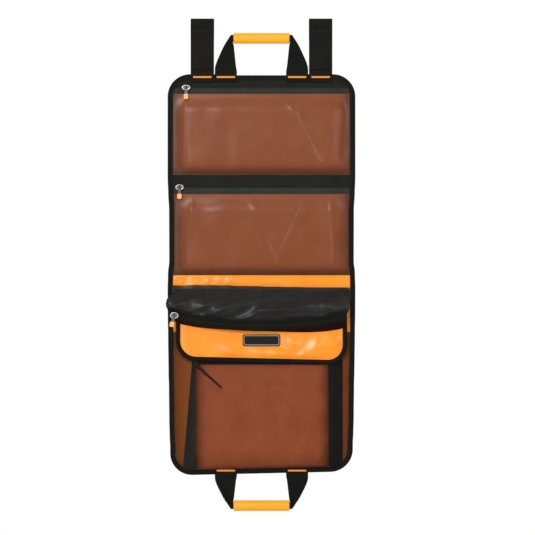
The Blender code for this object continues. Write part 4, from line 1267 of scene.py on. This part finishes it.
flap_cloth = cloth("flap_cloth", 160, 84, flap_point, 1.6 * MM, TARPAULIN)
settle(flap_cloth, "orange_tarpaulin", "flap", "flap_panel")

flap_side = [(-FLAP_HALF, mix(3 * MM, FLAP_L - FLAP_R, k / 24)) for k in range(24)]
flap_edge = round_the_end(flap_side, FLAP_HALF, FLAP_R, FLAP_L, 1, 28)
flap_tape = swept("flap_edge_tape", [flap_ring(flap_edge, k) for k in range(len(flap_edge))], BINDING_TAPE)
settle(flap_tape, "edge_binding", "flap", "flap_binding")

rings = [roll_ring(mix(-ROLL_HALF, ROLL_HALF, k / 90)) for k in range(91)]
roll = swept("flap_seam_cloth", rings, BINDING_TAPE)
settle(roll, "edge_binding", "lower_panel", "flap_seam_roll")
print("flap:", len(flap_cloth.data.polygons) + len(flap_tape.data.polygons), "faces")

# %% [markdown]
# ## Pouch
#
# A black net pouch is sewn on the flap. Its top covers the rolled seam, its front stands out over a zip
# that hangs in a shallow arc, and its ends are gathered, so creases run in from them. It is a row of sheets
# between that arc and the seams, and each has its own share of the fullness.

# %% The pouch's shape
POUCH_HALF, POUCH_DEPTH, POUCH_SHIFT = 181 * MM, 19.5 * MM, -8 * MM
POUCH_SEAM = 3.2 * MM
END_TURN = 5.5 * MM  # the width over which each end turns in to the flap
POUCH_WIDER = 1.065  # how much wider the full pouch is than its seam
BELLY_DOWN, BULGE = 38 * MM, 9 * MM  # where each end bulges out past the seam, and how far
CREASE_H, TOP_LIFT = 3 * MM, 7 * MM
ARC_HALF, ARC_RISE, ZIP_DROP = 178 * MM, 22 * MM, 81 * MM
ARC_R = (ARC_HALF**2 + ARC_RISE**2) / (2 * ARC_RISE)
ARC_END = ARC_HALF + 3 * MM


def zip_down(x):
    """How far down the flap the pouch's zip hangs at this x, measured from the middle of its arc."""
    return ZIP_DROP - ARC_R + math.sqrt(ARC_R**2 - min(x * x, ARC_R**2))


def pouch_droop(x):
    """The zip hangs a little lower at its right end."""
    return 5 * MM * smooth(x / POUCH_HALF)


def creases(x, wide, down):
    """The net's own creases, which run in from the gathered ends, from about -2 to 2."""
    gather = math.exp(-(POUCH_HALF - abs(x)) / (60 * MM))
    slant = down * 0.55 + wide * 0.18 * (1 if x < 0 else -1)
    fold = (1 - 2 * abs(wander(wide * 0.35 + 0.5 * down, slant, 0.026, 101.0))) * mix(0.6, 1.2, gather)
    return fold + 0.8 * wander(wide, down * 1.4, 0.045, 104.0)


def top_lift(x):
    """How far the pouch's top rides up over the seam, most at its left end."""
    return TOP_LIFT * mix(0.75, 0.1, smooth((x + 0.15) / 0.3)) * (1 + 0.3 * wander(x, 0, 0.03, 7.0))


def end_spread(x, down):
    """How much further out the seam lies near the pouch's top than the sheet's even spacing puts it."""
    return 8.5 * MM * smooth((abs(x) - 0.12) / 0.06) * smooth((46 * MM - down) / (16 * MM))


def pouch_sheet(name, columns, rows, down_at, out_at, look, loose=0.0):
    """A sheet of the pouch, whose ends turn in to the flap.

    down_at(x, v) and out_at(v) give its line, and loose is how much it crumples and rides up.
    """

    def place(u, v):
        t = 2 * u - 1
        x = POUCH_HALF * t * (1.5 - 0.5 * t * t)  # so the columns lie closer together at the ends
        out = mix(POUCH_SEAM, out_at(v), smooth((POUCH_HALF - abs(x)) / END_TURN))
        full = max(min((out - POUCH_SEAM) / (POUCH_DEPTH - POUCH_SEAM), 1.0), 0.0)
        down = down_at(x * POUCH_WIDER, v)
        reach = (30 if down < BELLY_DOWN else 12) * MM
        belly = math.exp(-(((down - BELLY_DOWN) / reach) ** 2)) * smooth((abs(t) - 0.55) / 0.4)
        full_x = x * POUCH_WIDER + POUCH_SHIFT + math.copysign(BULGE * belly, x)
        wide = mix(x + math.copysign(end_spread(x, down), x), full_x, full)
        down += pouch_droop(wide) * smooth(down / (40 * MM))
        if loose:
            depth = loose * CREASE_H * full * smooth(v / 0.15) * smooth((1 - v) / 0.1)
            lift = loose * top_lift(x) * smooth(1 - v / 0.3)
            return on_flap(wide, out + depth * creases(x, wide, down) + 0.35 * lift, down - lift)
        return on_flap(wide, out, down)

    return cloth(name, columns, rows, place, 0.6 * MM, look)


print("zip arc:", round(ARC_R / MM), "mm radius")

# %% [markdown]
# ## Pouch front, zip tapes and base
#
# The front is the one sheet that crosses the rolled seam. The tapes are level strips on each side of the coil
# with one sewn ridge, and the base is a short strip back to the flap.

# %% Pouch sheets and coil
TOP_SHARE = 0.1  # the share of the front that lies above the seam


def front_down(x, v):
    if v > TOP_SHARE:
        return mix(4.2 * MM, zip_down(x) - 11.7 * MM, (v - TOP_SHARE) / (1 - TOP_SHARE))
    return mix(-1.9 * MM, 4.2 * MM, v / TOP_SHARE)


def front_out(v):
    if v < TOP_SHARE:
        return mix(2.1 * MM, POUCH_SEAM, smooth(v / TOP_SHARE))
    share = (v - TOP_SHARE) / (1 - TOP_SHARE)
    swell = math.sin(math.radians(90) * min(share / 0.7, 1.0))
    return mix(POUCH_SEAM, POUCH_DEPTH + 2.5 * MM, swell) - 2.5 * MM * smooth((share - 0.7) / 0.3)


def ridged(at, width):
    """How far out a zip tape lies, with its ridge at this share of its height."""
    return lambda v: POUCH_DEPTH + 0.9 * MM * math.exp(-(((v - at) / width) ** 2))


def base_out(v):
    return mix(POUCH_DEPTH, POUCH_SEAM, v)


def base_spread(x):
    """How much further down the base is sewn to the flap towards its ends, in millimetres."""
    return -2 + 13 * smooth(x / 0.2) + 8 * smooth((-x - 0.05) / 0.14)


def arc_point(along):
    """The place on the coil's arc this far from its left end, and the way that is up there."""
    x = along - ARC_END
    up = Vector((-x / math.sqrt(ARC_R**2 - x * x), 0, 1)).normalized()
    down = zip_down(x) + pouch_droop(x + POUCH_SHIFT)
    return on_flap(x + POUCH_SHIFT, POUCH_DEPTH + 0.8 * MM, down), up


pouch_front = pouch_sheet("pouch_front_net", 220, 60, front_down, front_out, POUCH_NET, loose=1.0)
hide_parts("pouch_mesh")
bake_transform(pouch_front)

# Each strip runs between two lines that are so many millimetres below the zip's
for name, node, near, far, spread, out_at, look, cut in (
    ("pouch_upper_tape", "pouch_zip_upper_tape", -11.6, -0.2, 0, ridged(0.25, 0.16), HANDLE_WEBBING, 0.011),
    ("pouch_lower_tape", "pouch_zip_lower_tape", 0.2, 7.8, 0, ridged(0.7, 0.22), HANDLE_WEBBING, 0.01),
    ("pouch_base_cloth", "pouch_base", 7.9, 12.2, 1, base_out, BASE_CLOTH, 0.018),
):

    def strip_down(x, v, near=near, far=far, spread=spread):
        return zip_down(x) + mix(near, far + spread * base_spread(x), v) * MM

    strip = pouch_sheet(name, 110, 10, strip_down, out_at, look)
    settle(strip, "zip_band", "flap", node)

coil_row("pouch", "flap", arc_point, 2 * ARC_END)
print("pouch:", len(pouch_front.data.polygons), "faces")

# %% [markdown]
# ## Sliders and patch
#
# The engineering model already has the shapes of these moulded and cast parts, so its own nodes stay and
# get their finishes here. A slider is painted dark where it faces the viewer, as painted shade for the shade
# under its lid, and it is bright at its sides and its rim, a ring that is added. The patch is a black
# moulding with a raised grey line.

# %% Finishes of the hardware
TURNED_FRONT = -0.97  # a face whose normal has less y than this is turned to the viewer
LINE_H = 0.3 * MM  # how far the patch's line stands up from it

for pocket in ("utensil_pocket", "spice_pocket", "pouch"):
    repaint(pocket + "_puller", DARK_METAL_AND_SHADE)
    repaint(pocket + "_puller_tip", TIP_RUBBER)
    slider = repaint(pocket + "_slider", NICKEL, DARK_METAL_AND_SHADE)
    # Painted shade: faces turned to the viewer get the dark metal, as the shade under the slider's lid
    facing = slider.matrix_world.to_3x3()
    for face in slider.data.polygons:
        face.material_index = 1 if (facing @ face.normal).y < TURNED_FRONT else 0

    low, high = (Vector(corner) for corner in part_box(pocket + "_slider"))
    middle, size = (low + high) / 2, high - low
    bpy.ops.object.select_all(action="DESELECT")
    bpy.ops.mesh.primitive_torus_add(
        major_segments=40, minor_segments=8, major_radius=1.0, minor_radius=0.13,
        location=(middle.x, high.y - 0.62 * size.y, middle.z), rotation=(math.radians(90), 0, 0),
    )
    rim = bpy.context.object
    rim.name = pocket + "_slider_rim"
    rim.scale = (size.x * 0.46, size.z * 0.46, 6 * MM)
    bpy.ops.object.transform_apply(location=True, rotation=True, scale=True)
    bpy.ops.object.shade_smooth()
    rim.data.materials.append(NICKEL)
    settle(rim, "slider_metal", pocket + "_slider")

badge = repaint("patch", PATCH_RUBBER, PATCH_LINE)
spots = [badge.matrix_world @ face.center - SEAM_AXIS for face in badge.data.polygons]
outs = [spot.z * math.sin(LEAN) - spot.y * math.cos(LEAN) for spot in spots]
for face, out in zip(badge.data.polygons, outs):
    face.material_index = 1 if out > max(outs) - LINE_H else 0
print("patch faces stand", round(min(outs) / MM, 2), "to", round(max(outs) / MM, 2), "mm out")
